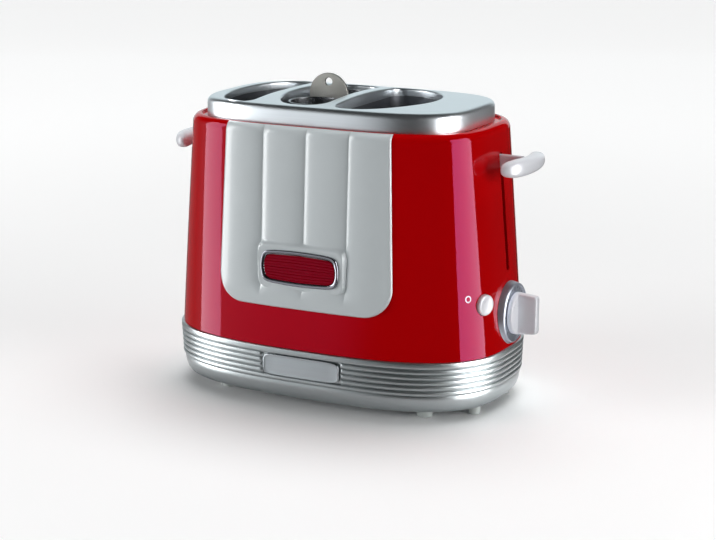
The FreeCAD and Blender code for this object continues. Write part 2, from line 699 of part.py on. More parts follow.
def nameplate():
    skin = smooth_base(-s.nameplate_proud, BOWL_TOP, BASE_TOP)
    skin = skin.cut(smooth_base(s.nameplate_thickness, BOWL_TOP, BASE_TOP))
    window = solid_box((s.nameplate_left + s.seat_gap, -BIG, RIBS_BOTTOM + s.rib_pitch + s.seat_gap),
                       (s.nameplate_right - s.seat_gap, 0, RIBS_TOP - s.seat_gap))
    return skin.common(window)


keep("nameplate", formed("Nameplate", nameplate()))


# Feet, base screws and the gland for a cord

def feet():
    outside = ribbed_base()
    places = [(s.foot_left_x, s.foot_y, s.foot_radius), (s.foot_right_x, s.foot_y, s.foot_radius),
              (s.foot_end_x, s.foot_end_y, s.foot_end_radius)]
    solids = []
    for x, y, radius in places:
        for end in (-1, 1):
            foot = Part.makeCone(float(radius), float(radius + s.foot_flare),
                                 float(s.foot_height + s.bowl_height / 3), point(x, y * end, 0), Z_AXIS)
            solids.append(foot.cut(outside).Solids[0])
    return Part.makeCompound(solids)


keep("feet", formed("Feet", feet()))

HEAD_BOTTOM = s.foot_height + s.seat_gap
screws = []
for number, (x, y) in enumerate(POSTS, start=1):
    head = rod(f"BaseScrewHead{number}", (x, y, HEAD_BOTTOM), s.screw_head_radius, s.screw_head_height)
    shank = rod(f"BaseScrewShank{number}", (x, y, HEAD_BOTTOM), s.screw_radius,
                s.screw_head_height + s.screw_length)
    screws.append(fuse(f"BaseScrew{number}", [head, shank]))
keep("base_screws", group("BaseScrews", screws))


GLAND_FACE = base_depth_at(abs(float(s.gland_x)) - float(s.gland_flange)) + s.seat_gap
NECK_START = GLAND_FACE - s.gland_neck
gland_neck = rod("GlandNeck", (s.gland_x, NECK_START, s.gland_height), s.gland_radius,
                 s.gland_neck + s.gland_sheet / 2, "y")
outer_flange = rod("GlandOuterFlange", (s.gland_x, GLAND_FACE, s.gland_height), s.gland_flange,
                   s.gland_sheet, "y")
inner_flange = rod("GlandInnerFlange", (s.gland_x, NECK_START - s.gland_sheet, s.gland_height),
                   s.gland_flange, s.gland_sheet, "y")
cord_slot = box("GlandSlot",
                (s.gland_x - s.cord_slot_width / 2, NECK_START - s.gland_sheet - PAST,
                 s.gland_height - s.cord_slot_height / 2),
                (s.gland_x + s.cord_slot_width / 2, GLAND_FACE + s.gland_sheet + PAST,
                 s.gland_height + s.cord_slot_height / 2))
gland_solid = fuse("GlandSolid", [gland_neck, outer_flange, inner_flange])
keep("cord_gland", cut("CordGland", gland_solid, [cord_slot]))


# Crumb tray that pulls out at the back

def crumb_tray():
    outer = solid_box((s.tray_left, s.tray_front, TRAY_BOTTOM), (s.tray_right, BIG, TRAY_TOP))
    hollow = solid_box((s.tray_left + s.tray_sheet, s.tray_front + s.tray_sheet, TRAY_BOTTOM + s.tray_sheet),
                       (s.tray_right - s.tray_sheet, BIG, TRAY_TOP + PAST))
    inside_wall = stack(bowl_sections(s.tray_sheet + s.slide_gap))
    pan = outer.common(stack(bowl_sections(s.slide_gap)))
    pan = pan.cut(hollow.common(inside_wall))
    middle = (s.tray_left + s.tray_right) / 2
    face = s.base_half_depth - base_inset(RIBS_BOTTOM) - s.bowl_inset
    lip_bottom = TRAY_BOTTOM + s.tray_height / 2
    lip = solid_box((middle - s.tray_lip_width / 2, face - s.tray_sheet * 3, lip_bottom),
                    (middle + s.tray_lip_width / 2, face + s.tray_lip_reach, lip_bottom + s.tray_sheet * 1.5))
    return pan.fuse(lip.cut(inside_wall)).removeSplitter()


keep("crumb_tray", formed("CrumbTray", crumb_tray()))


# Red outer shell

BUTTON_NORMAL = FreeCAD.Vector(math.cos(math.radians(float(s.button_turn))),
                               -math.sin(math.radians(float(s.button_turn))), 0)
button_half_width, button_half_depth, button_power, _ = shell_oval(s.button_height, 0.0)
button_share = (abs(float(s.button_y)) / float(button_half_depth)) ** float(button_power)
BUTTON_X = button_half_width * (1 - button_share) ** (1 / float(button_power))
BUTTON_CENTRE = point(BUTTON_X, s.button_y, s.button_height)
LEVER_LOW = s.lever_middle - s.stem_height / 2 - s.carriage_travel
LEVER_HIGH = s.lever_middle + s.stem_height / 2
OUTSIDE = shell_form(0.0, SHELL_BOTTOM)


def outer_shell():
    inner_sections = [shell_oval(BASE_TOP - PAST, -s.shell_wall),
                      shell_oval(SHOULDER - s.shell_wall, -s.shell_wall)]
    top_inset = s.shoulder_inset + s.shell_wall
    inner_sections.append((s.shell_half_width - s.shell_taper_x - top_inset,
                           s.shell_half_depth - s.shell_taper_y - top_inset,
                           s.rim_power, LEDGE - s.shell_wall))
    shape = OUTSIDE.cut(stack(inner_sections))
    pocket = stack([(s.plate_half_width + s.ledge_margin, s.plate_half_depth + s.ledge_margin_y,
                     s.rim_power, height) for height in (LEDGE, RIM + PAST)])
    opening = stack([(s.plate_half_width - s.ledge_width, s.plate_half_depth - s.ledge_width,
                      s.plate_power, height) for height in (LEDGE - s.shell_wall * 3, RIM + PAST)])
    slots = solid_box((-BIG, s.blade_y - s.lever_slot_width / 2, LEVER_LOW - s.lever_slot_room),
                      (BIG, s.blade_y + s.lever_slot_width / 2, LEVER_HIGH + s.lever_slot_room))
    slots = slots.cut(solid_box((-s.plate_half_width, -BIG, 0), (s.plate_half_width, BIG, BIG)))
    shaft_hole = solid_rod((s.plate_half_width, s.dial_y, s.dial_height), s.shaft_radius + s.shaft_room,
                           BIG, X_AXIS)
    button_hole = Part.makeCylinder(float(s.button_radius + s.slide_gap), float(s.button_depth * 4),
                                    BUTTON_CENTRE - BUTTON_NORMAL * float(s.button_depth * 2), BUTTON_NORMAL)
    return shape.cut([pocket, opening, slots, shaft_hole, button_hole])


keep("outer_shell", formed("OuterShell", outer_shell()))


# Pale fluted front panel with the plinth behind the badge

def front_outline(half_top, half_bottom, bottom, top, corner):
    """An upright outline with round lower corners, as a prism through the front."""
    half_top, half_bottom, corner = float(half_top), float(half_bottom), float(corner)
    bottom, top = float(bottom), float(top)
    shift = corner * (1 - math.sqrt(0.5))
    edges = [
        Part.makeLine(point(-half_top, 0, top), point(-half_bottom, 0, bottom + corner)),
        Part.Arc(point(-half_bottom, 0, bottom + corner),
                 point(-half_bottom + shift, 0, bottom + shift),
                 point(-half_bottom + corner, 0, bottom)).toShape(),
        Part.makeLine(point(-half_bottom + corner, 0, bottom), point(half_bottom - corner, 0, bottom)),
        Part.Arc(point(half_bottom - corner, 0, bottom),
                 point(half_bottom - shift, 0, bottom + shift),
                 point(half_bottom, 0, bottom + corner)).toShape(),
        Part.makeLine(point(half_bottom, 0, bottom + corner), point(half_top, 0, top)),
        Part.makeLine(point(half_top, 0, top), point(-half_top, 0, top)),
    ]
    return Part.Face(Part.Wire(edges)).extrude(FreeCAD.Vector(0, -BIG, 0))


def front_panel():
    against_shell = shell_form(s.seat_gap, BASE_TOP)
    skin = shell_form(s.panel_proud, BASE_TOP)
    region = front_outline(s.panel_half_top, s.panel_half_bottom, s.panel_bottom, PANEL_TOP, s.panel_corner)
    panel = skin.common(region)
    plinth = solid_box((-s.plinth_half_width, -PLINTH_FACE, s.plinth_bottom),
                       (s.plinth_half_width, 0, s.plinth_top))
    panel = panel.cut([flute_groove(x) for x in (s.flute_left_x, s.flute_middle_x, s.flute_right_x)])
    panel = panel.fuse(plinth)
    return panel.cut(against_shell)


def flute_groove(x):
    """A thin round cutter that leans back with the panel's face."""
    low, high = float(s.panel_bottom + s.flute_foot), float(PANEL_TOP + s.flute_radius)
    ends = []
    for height in (low, high):
        half_width, half_depth, power, _ = shell_oval(height, s.panel_proud)
        share = (abs(float(x)) / float(half_width)) ** float(power)
        face = float(half_depth) * (1 - share) ** (1 / float(power))
        ends.append(point(x, -(face + float(s.flute_radius - s.flute_depth)), height))
    return Part.makeCylinder(float(s.flute_radius), (ends[1] - ends[0]).Length, ends[0], ends[1] - ends[0])


keep("front_panel", formed("FrontPanel", front_panel()))


def barrel(inset, near, far):
    """The badge's outline, narrow at its corners and swollen at its sides, as a prism."""
    half = float(s.badge_half_width) - inset
    bottom = float(s.badge_bottom) + inset
    top = float(s.badge_bottom + s.badge_height) - inset
    bulge = float(s.badge_bulge)
    near, far = float(near), float(far)
    middle = (bottom + top) / 2
    edges = [
        Part.makeLine(point(-half, near, top), point(half, near, top)),
        Part.Arc(point(half, near, top), point(half + bulge, near, middle),
                 point(half, near, bottom)).toShape(),
        Part.makeLine(point(half, near, bottom), point(-half, near, bottom)),
        Part.Arc(point(-half, near, bottom), point(-half - bulge, near, middle),
                 point(-half, near, top)).toShape(),
    ]
    return Part.Face(Part.Wire(edges)).extrude(FreeCAD.Vector(0, far - near, 0))


def badge_frame():
    near, far = -(PLINTH_FACE + s.badge_proud), -PLINTH_FACE
    return barrel(0.0, near, far).cut(barrel(float(s.badge_frame), near - PAST, far + PAST))


def badge_insert():
    inset = float(s.badge_frame + s.seat_gap)
    back = -PLINTH_FACE
    face = back - s.insert_thickness
    plate = barrel(inset, face, back)
    ribs_space = barrel(inset, face - s.insert_rib, back)
    ribs = []
    middle = s.badge_bottom + s.badge_height / 2
    for rib in range(-4, 5):
        height = middle + s.insert_rib_pitch * rib
        ribs.append(solid_box((-BIG, face - s.insert_rib, height - s.insert_rib_pitch * 0.3),
                              (BIG, back, height + s.insert_rib_pitch * 0.3)).common(ribs_space))
    return plate.fuse(ribs).removeSplitter()


keep("badge_frame", formed("BadgeFrame", badge_frame()))
keep("badge_insert", formed("BadgeInsert", badge_insert()))


# Stainless top plate with its three wells and folded collars

def top_plate():
    outside = plate_form(0.0, PLATE_BOTTOM)
    sheet_metal = outside.cut(plate_form(s.plate_sheet, PLATE_BOTTOM - PAST))
    collar_bottom = PLATE_EDGE - s.collar_depth
    collars = [well.prism(s.plate_sheet, collar_bottom, BIG).common(outside)
               for well in WELLS.values()]
    wells = [well.prism(0.0, collar_bottom - PAST, BIG) for well in WELLS.values()]
    return sheet_metal.fuse(collars).cut(wells)


keep("top_plate", formed("TopPlate", top_plate()))


# Well liners that stand on the chassis deck

def liner(well):
    top = PLATE_EDGE - s.plate_sheet - s.liner_top_gap
    shape = well.prism(LINER_OUTER, DECK_TOP, top).cut(well.prism(LINER_INNER, DECK_TOP - PAST, top + PAST))
    cuts = [solid_box((-BIG, SLOT_FRONT, DECK_TOP + s.liner_foot), (BIG, SLOT_BACK, SLOT_TOP))]
    reach = float(s.window_half_width)
    bar = float(s.window_bar)
    count = 4
    width = (2 * reach - bar * (count - 1)) / count
    for index in range(count):
        front = -reach + index * (width + bar)
        cuts.append(solid_box((-BIG, front, DECK_TOP + s.window_bottom),
                              (BIG, front + width, DECK_TOP + s.window_bottom + s.window_height)))
    return shape.cut(cuts)


for side, label in (("left", "bun_liner_left"), ("basket", "basket_liner"), ("right", "bun_liner_right")):
    keep(label, formed(label.title().replace("_", ""), liner(WELLS[side])))


# Chassis deck with a hole under each well

def chassis_deck():
    inset = s.base_wall + s.deck_gap
    shape = stack([base_oval(DECK_BOTTOM, base_inset(DECK_BOTTOM) + inset),
                   base_oval(DECK_TOP, base_inset(DECK_BOTTOM) + inset)])
    return shape.cut([well.prism(-s.deck_hole_margin, DECK_BOTTOM - PAST, DECK_TOP + PAST)
                      for well in WELLS.values()])


keep("chassis_deck", formed("ChassisDeck", chassis_deck()))


# Chassis ends: a sheet with a slot for the carriage, foot tabs and a flange for the guide rod

ROD_LENGTH = FLANGE_HEIGHT + s.chassis_sheet * 2 - DECK_TOP
chassis_screws = []
for label, sheet_x, rod_x, outward in (("chassis_end_left", s.chassis_left_x, s.upright_left_x, -1),
                                       ("chassis_end_right", s.chassis_right_x, s.upright_right_x, 1)):
    name = label.title().replace("_", "")
    body, sketch = sketched(name + "Sheet", "YZ_Plane", sheet_x - s.chassis_sheet / 2)
    polygon(sketch, [(-s.chassis_half_depth, DECK_TOP), (SLOT_FRONT, DECK_TOP), (SLOT_FRONT, SLOT_TOP),
                     (SLOT_BACK, SLOT_TOP), (SLOT_BACK, DECK_TOP), (s.chassis_half_depth, DECK_TOP),
                     (s.chassis_half_depth, CHASSIS_TOP), (-s.chassis_half_depth, CHASSIS_TOP)])
    pad(body, sketch, s.chassis_sheet)
    face = sheet_x + s.chassis_sheet / 2 * outward
    edge = face + s.chassis_tab * outward
    flange_edge = rod_x + s.rod_radius * 1.5 * outward
    low_x, high_x = (edge, face) if outward < 0 else (face, edge)
    low_flange, high_flange = (flange_edge, face) if outward < 0 else (face, flange_edge)
    flange = box(name + "Flange", (low_flange, s.rod_y - s.rod_radius * 2, FLANGE_HEIGHT),
                 (high_flange, s.rod_y + s.rod_radius, FLANGE_HEIGHT + s.chassis_sheet))
    flange_hole = rod(name + "RodHole", (rod_x, s.rod_y, FLANGE_HEIGHT - PAST), s.rod_radius + s.rod_fit,
                      s.chassis_sheet + 2 * PAST)
    pieces = [body, flange]
    holes = [flange_hole]
    for end, word in ((-1, "Front"), (1, "Rear")):
        outer_y = s.chassis_half_depth * end
        inner_y = outer_y - s.chassis_tab_length * end
        low_y, high_y = (outer_y, inner_y) if end < 0 else (inner_y, outer_y)
        pieces.append(box(name + word + "Tab", (low_x, low_y, DECK_TOP),
                          (high_x, high_y, DECK_TOP + s.chassis_sheet)))
        screw_x = (low_x + high_x) / 2
        screw_y = (low_y + high_y) / 2
        holes.append(rod(name + word + "Hole", (screw_x, screw_y, DECK_TOP - PAST),
                         s.screw_radius + s.seat_gap, s.chassis_sheet + 2 * PAST))
        head = rod(name + word + "ScrewHead", (screw_x, screw_y, DECK_TOP + s.chassis_sheet),
                   s.screw_head_radius - 0.4, s.screw_head_height)
        shank = rod(name + word + "ScrewShank", (screw_x, screw_y, DECK_TOP),
                    s.screw_radius, s.chassis_sheet + s.screw_head_height)
        chassis_screws.append(fuse(name + word + "Screw", [head, shank]))
    keep(label, cut(name, fuse(name + "Solid", pieces), holes))
keep("chassis_screws", group("ChassisScrews", chassis_screws))


# Heaters: mica boards with a slot for the carriage, and a ribbon on each side that faces food

BOARD_BOTTOM = DECK_TOP
BOARD_TOP = DECK_TOP + s.board_bottom + s.board_height
RIBBON_BOTTOM = DECK_TOP + s.ribbon_bottom
RIBBON_TOP = RIBBON_BOTTOM + s.ribbon_height
FRONT_LEGS = 5
REAR_LEGS = 3


def ribbon(name, low_x, high_x):
    """One flat ribbon that runs up and down the board in eight legs."""
    legs = [s.ribbon_start_y + s.ribbon_pitch * leg for leg in range(FRONT_LEGS)]
    legs += [s.ribbon_second_y + s.ribbon_pitch * leg for leg in range(REAR_LEGS)]
    half = s.ribbon_width / 2
    pieces = [box(f"{name}Leg{number}", (low_x, leg - half, RIBBON_BOTTOM), (high_x, leg + half, RIBBON_TOP))
              for number, leg in enumerate(legs, start=1)]
    for number, (leg, following) in enumerate(zip(legs, legs[1:]), start=1):
        height = RIBBON_TOP if number % 2 else RIBBON_BOTTOM + s.ribbon_width
        pieces.append(box(f"{name}Turn{number}", (low_x, leg - half, height - s.ribbon_width),
                          (high_x, following + half, height)))
    return fuse(name, pieces)


HEATERS = [("a", s.board_a_x, (1,)), ("b", s.board_b_x, (-1, 1)), ("c", s.board_c_x, (-1, 1)),
           ("d", s.board_d_x, (-1,))]
for letter, board_x, faces in HEATERS:
    body, sketch = sketched(f"HeaterBoard{letter.upper()}", "YZ_Plane", board_x - s.board_thickness / 2)
    polygon(sketch, [(-s.board_half_depth, BOARD_BOTTOM), (SLOT_FRONT, BOARD_BOTTOM), (SLOT_FRONT, SLOT_TOP),
                     (SLOT_BACK, SLOT_TOP), (SLOT_BACK, BOARD_BOTTOM), (s.board_half_depth, BOARD_BOTTOM),
                     (s.board_half_depth, BOARD_TOP), (-s.board_half_depth, BOARD_TOP)])
    pad(body, sketch, s.board_thickness)
    keep(f"heater_board_{letter}", body)
    ribbons = []
    for face in faces:
        near = board_x + s.board_thickness / 2 * face
        far = near + s.ribbon_thickness * face
        low_x, high_x = (near, far) if face > 0 else (far, near)
        ribbons.append(ribbon(f"Ribbon{letter.upper()}{'Right' if face > 0 else 'Left'}", low_x, high_x))
    keep(f"heater_ribbon_{letter}", ribbons[0] if len(ribbons) == 1 else group(f"Ribbons{letter}", ribbons))


# Guide rods and return springs

BUSHING_BOTTOM = s.crossbar_bottom
BUSHING_TOP = BUSHING_BOTTOM + s.bushing_height
for label, rod_x in (("left", s.upright_left_x), ("right", s.upright_right_x)):
    name = label.title()
    keep(f"guide_rod_{label}", rod(f"GuideRod{name}", (rod_x, s.rod_y, DECK_TOP), s.rod_radius, ROD_LENGTH))
    wire = rod(f"SpringOuter{name}", (rod_x, s.rod_y, BUSHING_TOP), s.spring_radius,
               FLANGE_HEIGHT - BUSHING_TOP)
    bore = rod(f"SpringInner{name}", (rod_x, s.rod_y, BUSHING_TOP - PAST), s.spring_radius - s.spring_wall,
               FLANGE_HEIGHT - BUSHING_TOP + 2 * PAST)
    keep(f"return_spring_{label}", cut(f"ReturnSpring{name}", wire, [bore]))
    block = box(f"BushingBlock{name}",
                (rod_x - s.bushing_size / 2, BLADE_FRONT - s.bushing_size, BUSHING_BOTTOM),
                (rod_x + s.bushing_size / 2, BLADE_FRONT, BUSHING_TOP))
    hole = rod(f"BushingHole{name}", (rod_x, s.rod_y, BUSHING_BOTTOM - PAST), s.rod_radius + s.rod_fit,
               s.bushing_height + 2 * PAST)
    keep(f"carriage_bushing_{label}", cut(f"CarriageBushing{name}", block, [hole]))


# Carriage: crossbar, two uprights and two lever stems cut from one sheet

STEM_RIGHT = LEVER_INNER + s.stem_depth
STEM_LEFT = -STEM_RIGHT
STEM_BOTTOM = s.lever_middle - s.stem_height / 2
STEM_TOP = s.lever_middle + s.stem_height / 2
LEFT_OUT = s.upright_left_x - s.upright_width / 2
LEFT_IN = s.upright_left_x + s.upright_width / 2
RIGHT_IN = s.upright_right_x - s.upright_width / 2
RIGHT_OUT = s.upright_right_x + s.upright_width / 2
body, sketch = sketched("CarriageFrame", "XZ_Plane", -BLADE_BACK)
polygon(sketch, [(LEFT_OUT, s.crossbar_bottom), (RIGHT_OUT, s.crossbar_bottom), (RIGHT_OUT, STEM_BOTTOM),
                 (STEM_RIGHT, STEM_BOTTOM), (STEM_RIGHT, STEM_TOP), (RIGHT_IN, STEM_TOP),
                 (RIGHT_IN, CROSSBAR_TOP), (LEFT_IN, CROSSBAR_TOP), (LEFT_IN, STEM_TOP),
                 (STEM_LEFT, STEM_TOP), (STEM_LEFT, STEM_BOTTOM), (LEFT_OUT, STEM_BOTTOM)])
keep("carriage_frame", pad(body, sketch, s.blade_thickness))

keep("latch_armature", box("LatchArmature", (s.upright_right_x - s.upright_width / 2, BLADE_BACK,
                                             s.armature_bottom),
                           (s.upright_right_x - s.upright_width / 2 + s.armature_length,
                            BLADE_BACK + s.armature_depth, s.armature_bottom + s.armature_thickness)))


def cradle(well):
    """A slotted floor for one well, on top of the crossbar."""
    floor = well.prism(-s.cradle_margin, CROSSBAR_TOP, CRADLE_TOP)
    inside = well.prism(-(s.cradle_margin + s.cradle_bar), CROSSBAR_TOP - PAST, CRADLE_TOP + PAST)
    step = float(s.cradle_slot + s.cradle_bar)
    cuts = []
    for row in range(-8, 9):
        front = float(s.blade_y) + row * step - float(s.cradle_slot) / 2 + step / 2
        cuts.append(solid_box((-BIG, front, CROSSBAR_TOP - PAST),
                              (BIG, front + float(s.cradle_slot), CRADLE_TOP + PAST)).common(inside))
    cuts = [piece for piece in cuts if piece.Volume > 1.0]
    return floor.cut(cuts)


for side, label in (("left", "bun_cradle_left"), ("basket", "basket_cradle"), ("right", "bun_cradle_right")):
    keep(label, formed(label.title().replace("_", ""), cradle(WELLS[side])))


# Levers: rounded ears with a socket for the carriage stem

def lever(side):
    bottom = float(s.lever_middle - s.lever_height / 2)
    inner, outer = float(LEVER_INNER), float(LEVER_OUTER)
    front, back = float(s.lever_front_y), float(s.lever_back_y)
    bow = outer - float(s.lever_bow)
    outline = [
        Part.makeLine(point(inner, front, bottom), point(bow, front, bottom)),
        Part.Arc(point(bow, front, bottom), point(outer, (front + back) / 2, bottom),
                 point(bow, back, bottom)).toShape(),
        Part.makeLine(point(bow, back, bottom), point(inner, back, bottom)),
        Part.makeLine(point(inner, back, bottom), point(inner, front, bottom)),
    ]
    block = Part.Face(Part.Wire(outline)).extrude(point(0, 0, s.lever_height))
    upright = [edge for edge in block.Edges
               if edge.BoundBox.ZLength > 1.0 and edge.BoundBox.XMin > inner + 1.0]
    block = block.makeFillet(float(s.lever_corner), upright)
    level = [edge for edge in block.Edges
             if edge.BoundBox.ZLength < 1e-3 and edge.BoundBox.XMax > inner + 1e-3]
    block = block.makeFillet(min(float(s.lever_edge), float(s.lever_height) / 2 - 0.5), level)
    socket = solid_box((inner - PAST, BLADE_FRONT - s.seat_gap, STEM_BOTTOM - s.seat_gap),
                       (STEM_RIGHT + s.seat_gap, BLADE_BACK + s.seat_gap, STEM_TOP + s.seat_gap))
    block = block.cut(socket)
    if side < 0:
        block = block.mirror(FreeCAD.Vector(), X_AXIS)
    return block


keep("lever_left", formed("LeverLeft", lever(-1)))
keep("lever_right", formed("LeverRight", lever(1)))


# Latch coil, mains switch and the bracket that carries the dial control and the stop switch

MAGNET_TOP = s.armature_bottom - s.carriage_travel - s.slide_gap
keep("latch_magnet", rod("LatchMagnet", (s.magnet_x, s.magnet_y, DECK_TOP), s.magnet_radius,
                         MAGNET_TOP - DECK_TOP))
keep("mains_switch", box("MainsSwitch", (s.switch_x, s.switch_y, DECK_TOP),
                         (s.switch_x + s.switch_width, s.switch_y + s.switch_depth,
                          DECK_TOP + s.switch_height)))

body, sketch = sketched("BracketSheet", "YZ_Plane", s.bracket_x)
polygon(sketch, [(s.bracket_front_y, DECK_TOP), (s.bracket_back_y, DECK_TOP),
                 (s.bracket_back_y, DECK_TOP + s.bracket_height),
                 (s.bracket_front_y, DECK_TOP + s.bracket_height)])
circle(sketch, s.dial_y, s.dial_height, s.shaft_radius + s.shaft_gap)
pad(body, sketch, s.bracket_sheet)
bracket_flange = box("BracketFlange",
                     (s.bracket_x - s.bracket_flange, s.bracket_front_y,
                      s.button_height - s.stop_switch_height),
                     (s.bracket_x + s.bracket_sheet, s.bracket_front_y + s.bracket_sheet,
                      DECK_TOP + s.bracket_height))
keep("control_bracket", fuse("ControlBracket", [body, bracket_flange]))
pot_case = rod("PotCase", (s.bracket_x - s.pot_depth, s.dial_y, s.dial_height), s.pot_radius,
               s.pot_depth, "x")
pot_bore = rod("PotBore", (s.bracket_x - s.pot_depth / 2, s.dial_y, s.dial_height),
               s.shaft_radius + s.shaft_gap, s.pot_depth, "x")
keep("dial_control", cut("DialControl", pot_case, [pot_bore]))
keep("stop_switch", box("StopSwitch",
                        (s.stop_switch_x, s.bracket_front_y - s.stop_switch_depth,
                         s.button_height - s.stop_switch_height / 2),
                        (s.stop_switch_x + s.stop_switch_length, s.bracket_front_y,
                         s.button_height + s.stop_switch_height / 2)))


# Dial bezel, knob and shaft

def dial_bezel():
    start = DIAL_FACE - s.dial_depth
    body_cone = Part.makeCone(float(s.dial_radius + s.dial_flare), float(s.dial_radius), float(s.dial_depth),
                              point(start, s.dial_y, s.dial_height), X_AXIS)
    dish = solid_rod((DIAL_FACE - s.dial_dish, s.dial_y, s.dial_height), s.dial_radius - s.dial_rim,
                     s.dial_dish + PAST, X_AXIS)
    hole = solid_rod((start - PAST, s.dial_y, s.dial_height), s.shaft_radius + s.shaft_room, BIG, X_AXIS)
    return body_cone.cut([shell_form(s.seat_gap, BASE_TOP), dish, hole])


keep("dial_bezel", formed("DialBezel", dial_bezel()))

KNOB_BACK = DIAL_FACE - s.dial_dish + s.slide_gap
KNOB_BASE_TOP = KNOB_BACK + s.knob_base
SHAFT_START = s.bracket_x - s.pot_depth / 2 + s.slide_gap
SHAFT_END = KNOB_BASE_TOP + s.shaft_bite


def edges_at(solid, place):
    """The edges that lie wholly at one place along X."""
    return [edge for edge in solid.Edges
            if abs(edge.BoundBox.XMin - float(place)) < 1e-6 and edge.BoundBox.XLength < 1e-6]


def browning_knob():
    centre = (s.dial_y, s.dial_height)
    base = solid_rod((KNOB_BACK, *centre), s.knob_radius, s.knob_base, X_AXIS)
    base = base.makeFillet(float(s.knob_base_edge), edges_at(base, KNOB_BASE_TOP))
    half_grip = s.grip_thickness / 2
    grip = solid_box((KNOB_BASE_TOP - PAST, s.dial_y - half_grip, s.dial_height - s.knob_radius),
                     (KNOB_FACE, s.dial_y + half_grip, s.dial_height + s.knob_radius))
    grip = grip.common(solid_rod((KNOB_BACK, *centre), s.knob_radius, BIG, X_AXIS))
    away = half_grip + s.grip_scoop - s.scoop_depth
    scoops = [solid_rod((KNOB_BASE_TOP, s.dial_y + away * side, s.dial_height), s.grip_scoop, BIG, X_AXIS)
              for side in (-1, 1)]
    grip = grip.cut(scoops)
    grip = grip.makeFillet(float(s.knob_edge), edges_at(grip, KNOB_FACE))
    bore = solid_rod((KNOB_BACK - PAST, *centre), s.shaft_radius, SHAFT_END - KNOB_BACK + PAST, X_AXIS)
    return base.fuse(grip).cut(bore)


keep("browning_knob", formed("BrowningKnob", browning_knob()))
keep("knob_shaft", rod("KnobShaft", (SHAFT_START, s.dial_y, s.dial_height), s.shaft_radius,
                       SHAFT_END - SHAFT_START, "x"))


# Stop button on the rounded corner of the shell

def stop_button():
    radius, proud, depth = float(s.button_radius), float(s.button_proud), float(s.button_depth)
    start = BUTTON_CENTRE - BUTTON_NORMAL * depth
    button = Part.makeCylinder(radius, depth + proud, start, BUTTON_NORMAL)
    front = BUTTON_CENTRE + BUTTON_NORMAL * proud
    front_edges = [edge for edge in button.Edges
                   if edge.Closed and (edge.CenterOfMass - front).Length < 1e-3]
    button = button.makeFillet(float(s.button_edge), front_edges)
    flange = Part.makeCylinder(float(s.button_flange), float(s.button_sheet), start, BUTTON_NORMAL)
    return button.fuse(flange).removeSplitter()


keep("stop_button", formed("StopButton", stop_button()))


# Sausage basket: two tubes, bridges between them and a sheet handle

TUBE_BOTTOM = CRADLE_TOP + s.slide_gap
for label, end in (("front", -1), ("rear", 1)):
    name = f"Tube{label.title()}"
    centre_y = s.tube_y * end
    skin = rod(name + "Skin", (s.tube_x, centre_y, TUBE_BOTTOM), s.tube_radius, s.tube_top - TUBE_BOTTOM)
    bore = rod(name + "Bore", (s.tube_x, centre_y, TUBE_BOTTOM + s.tube_sheet), s.tube_radius - s.tube_sheet,
               s.tube_top - TUBE_BOTTOM)
    drain = rod(name + "Drain", (s.tube_x, centre_y, TUBE_BOTTOM - PAST), s.tube_drain,
                s.tube_sheet + 2 * PAST)
    slot_bottom = TUBE_BOTTOM + s.tube_slot_rise
    slots = []
    for number in (-1, 0, 1):
        slot_y = centre_y + s.tube_slot_pitch * number
        slots.append(box(f"{name}Slot{number + 2}",
                         (s.tube_x - s.tube_radius - PAST, slot_y - s.tube_slot_width / 2, slot_bottom),
                         (s.tube_x + s.tube_radius + PAST, slot_y + s.tube_slot_width / 2,
                          slot_bottom + s.tube_slot_height)))
    keep(f"basket_tube_{label}", cut(name, skin, [bore, drain] + slots))


def bridge(name, bottom):
    """A small block between the tubes that clasps the handle."""
    block = box(name + "Block", (s.tube_x - s.bridge_half_width, -s.tube_y, bottom),
                (s.tube_x + s.bridge_half_width, s.tube_y, bottom + s.bridge_height))
    tubes = [rod(f"{name}Tube{number}", (s.tube_x, s.tube_y * end, bottom - PAST), s.tube_radius,
                 s.bridge_height + 2 * PAST) for number, end in ((1, -1), (2, 1))]
    clasp = box(name + "Clasp", (s.tube_x - s.handle_stem_half, -s.handle_thickness / 2, bottom - PAST),
                (s.tube_x + s.handle_stem_half, s.handle_thickness / 2, bottom + s.bridge_height + PAST))
    return cut(name, block, tubes + [clasp])


BRIDGES = [bridge("BridgeLow", s.handle_foot + s.bridge_rise),
           bridge("BridgeHigh", s.tube_top - s.bridge_height - s.bridge_drop)]
keep("basket_bridges", group("BasketBridges", BRIDGES))


def basket_handle():
    """A narrow stem between the tubes and a round tab with a finger hole."""
    thickness = float(s.handle_thickness)
    half, stem = float(s.handle_half_width), float(s.handle_stem_half)
    top, shoulder, foot = float(s.handle_top), float(s.handle_shoulder), float(s.handle_foot)
    x, y = float(s.tube_x), -thickness / 2
    straight = top - half
    edges = [
        Part.makeLine(point(x - stem, y, foot), point(x + stem, y, foot)),
        Part.makeLine(point(x + stem, y, foot), point(x + stem, y, shoulder)),
        Part.makeLine(point(x + stem, y, shoulder), point(x + half, y, shoulder)),
        Part.makeLine(point(x + half, y, shoulder), point(x + half, y, straight)),
        Part.Arc(point(x + half, y, straight), point(x, y, top), point(x - half, y, straight)).toShape(),
        Part.makeLine(point(x - half, y, straight), point(x - half, y, shoulder)),
        Part.makeLine(point(x - half, y, shoulder), point(x - stem, y, shoulder)),
        Part.makeLine(point(x - stem, y, shoulder), point(x - stem, y, foot)),
    ]
    tab = Part.Face(Part.Wire(edges)).extrude(FreeCAD.Vector(0, thickness, 0))
    hole = solid_rod((x, y - PAST, s.handle_top - s.handle_hole_drop), s.handle_hole,
                     thickness + 2 * PAST, Y_AXIS)
    return tab.cut(hole)


keep("basket_handle", formed("BasketHandle", basket_handle()))


# Every object is sound before anything is written

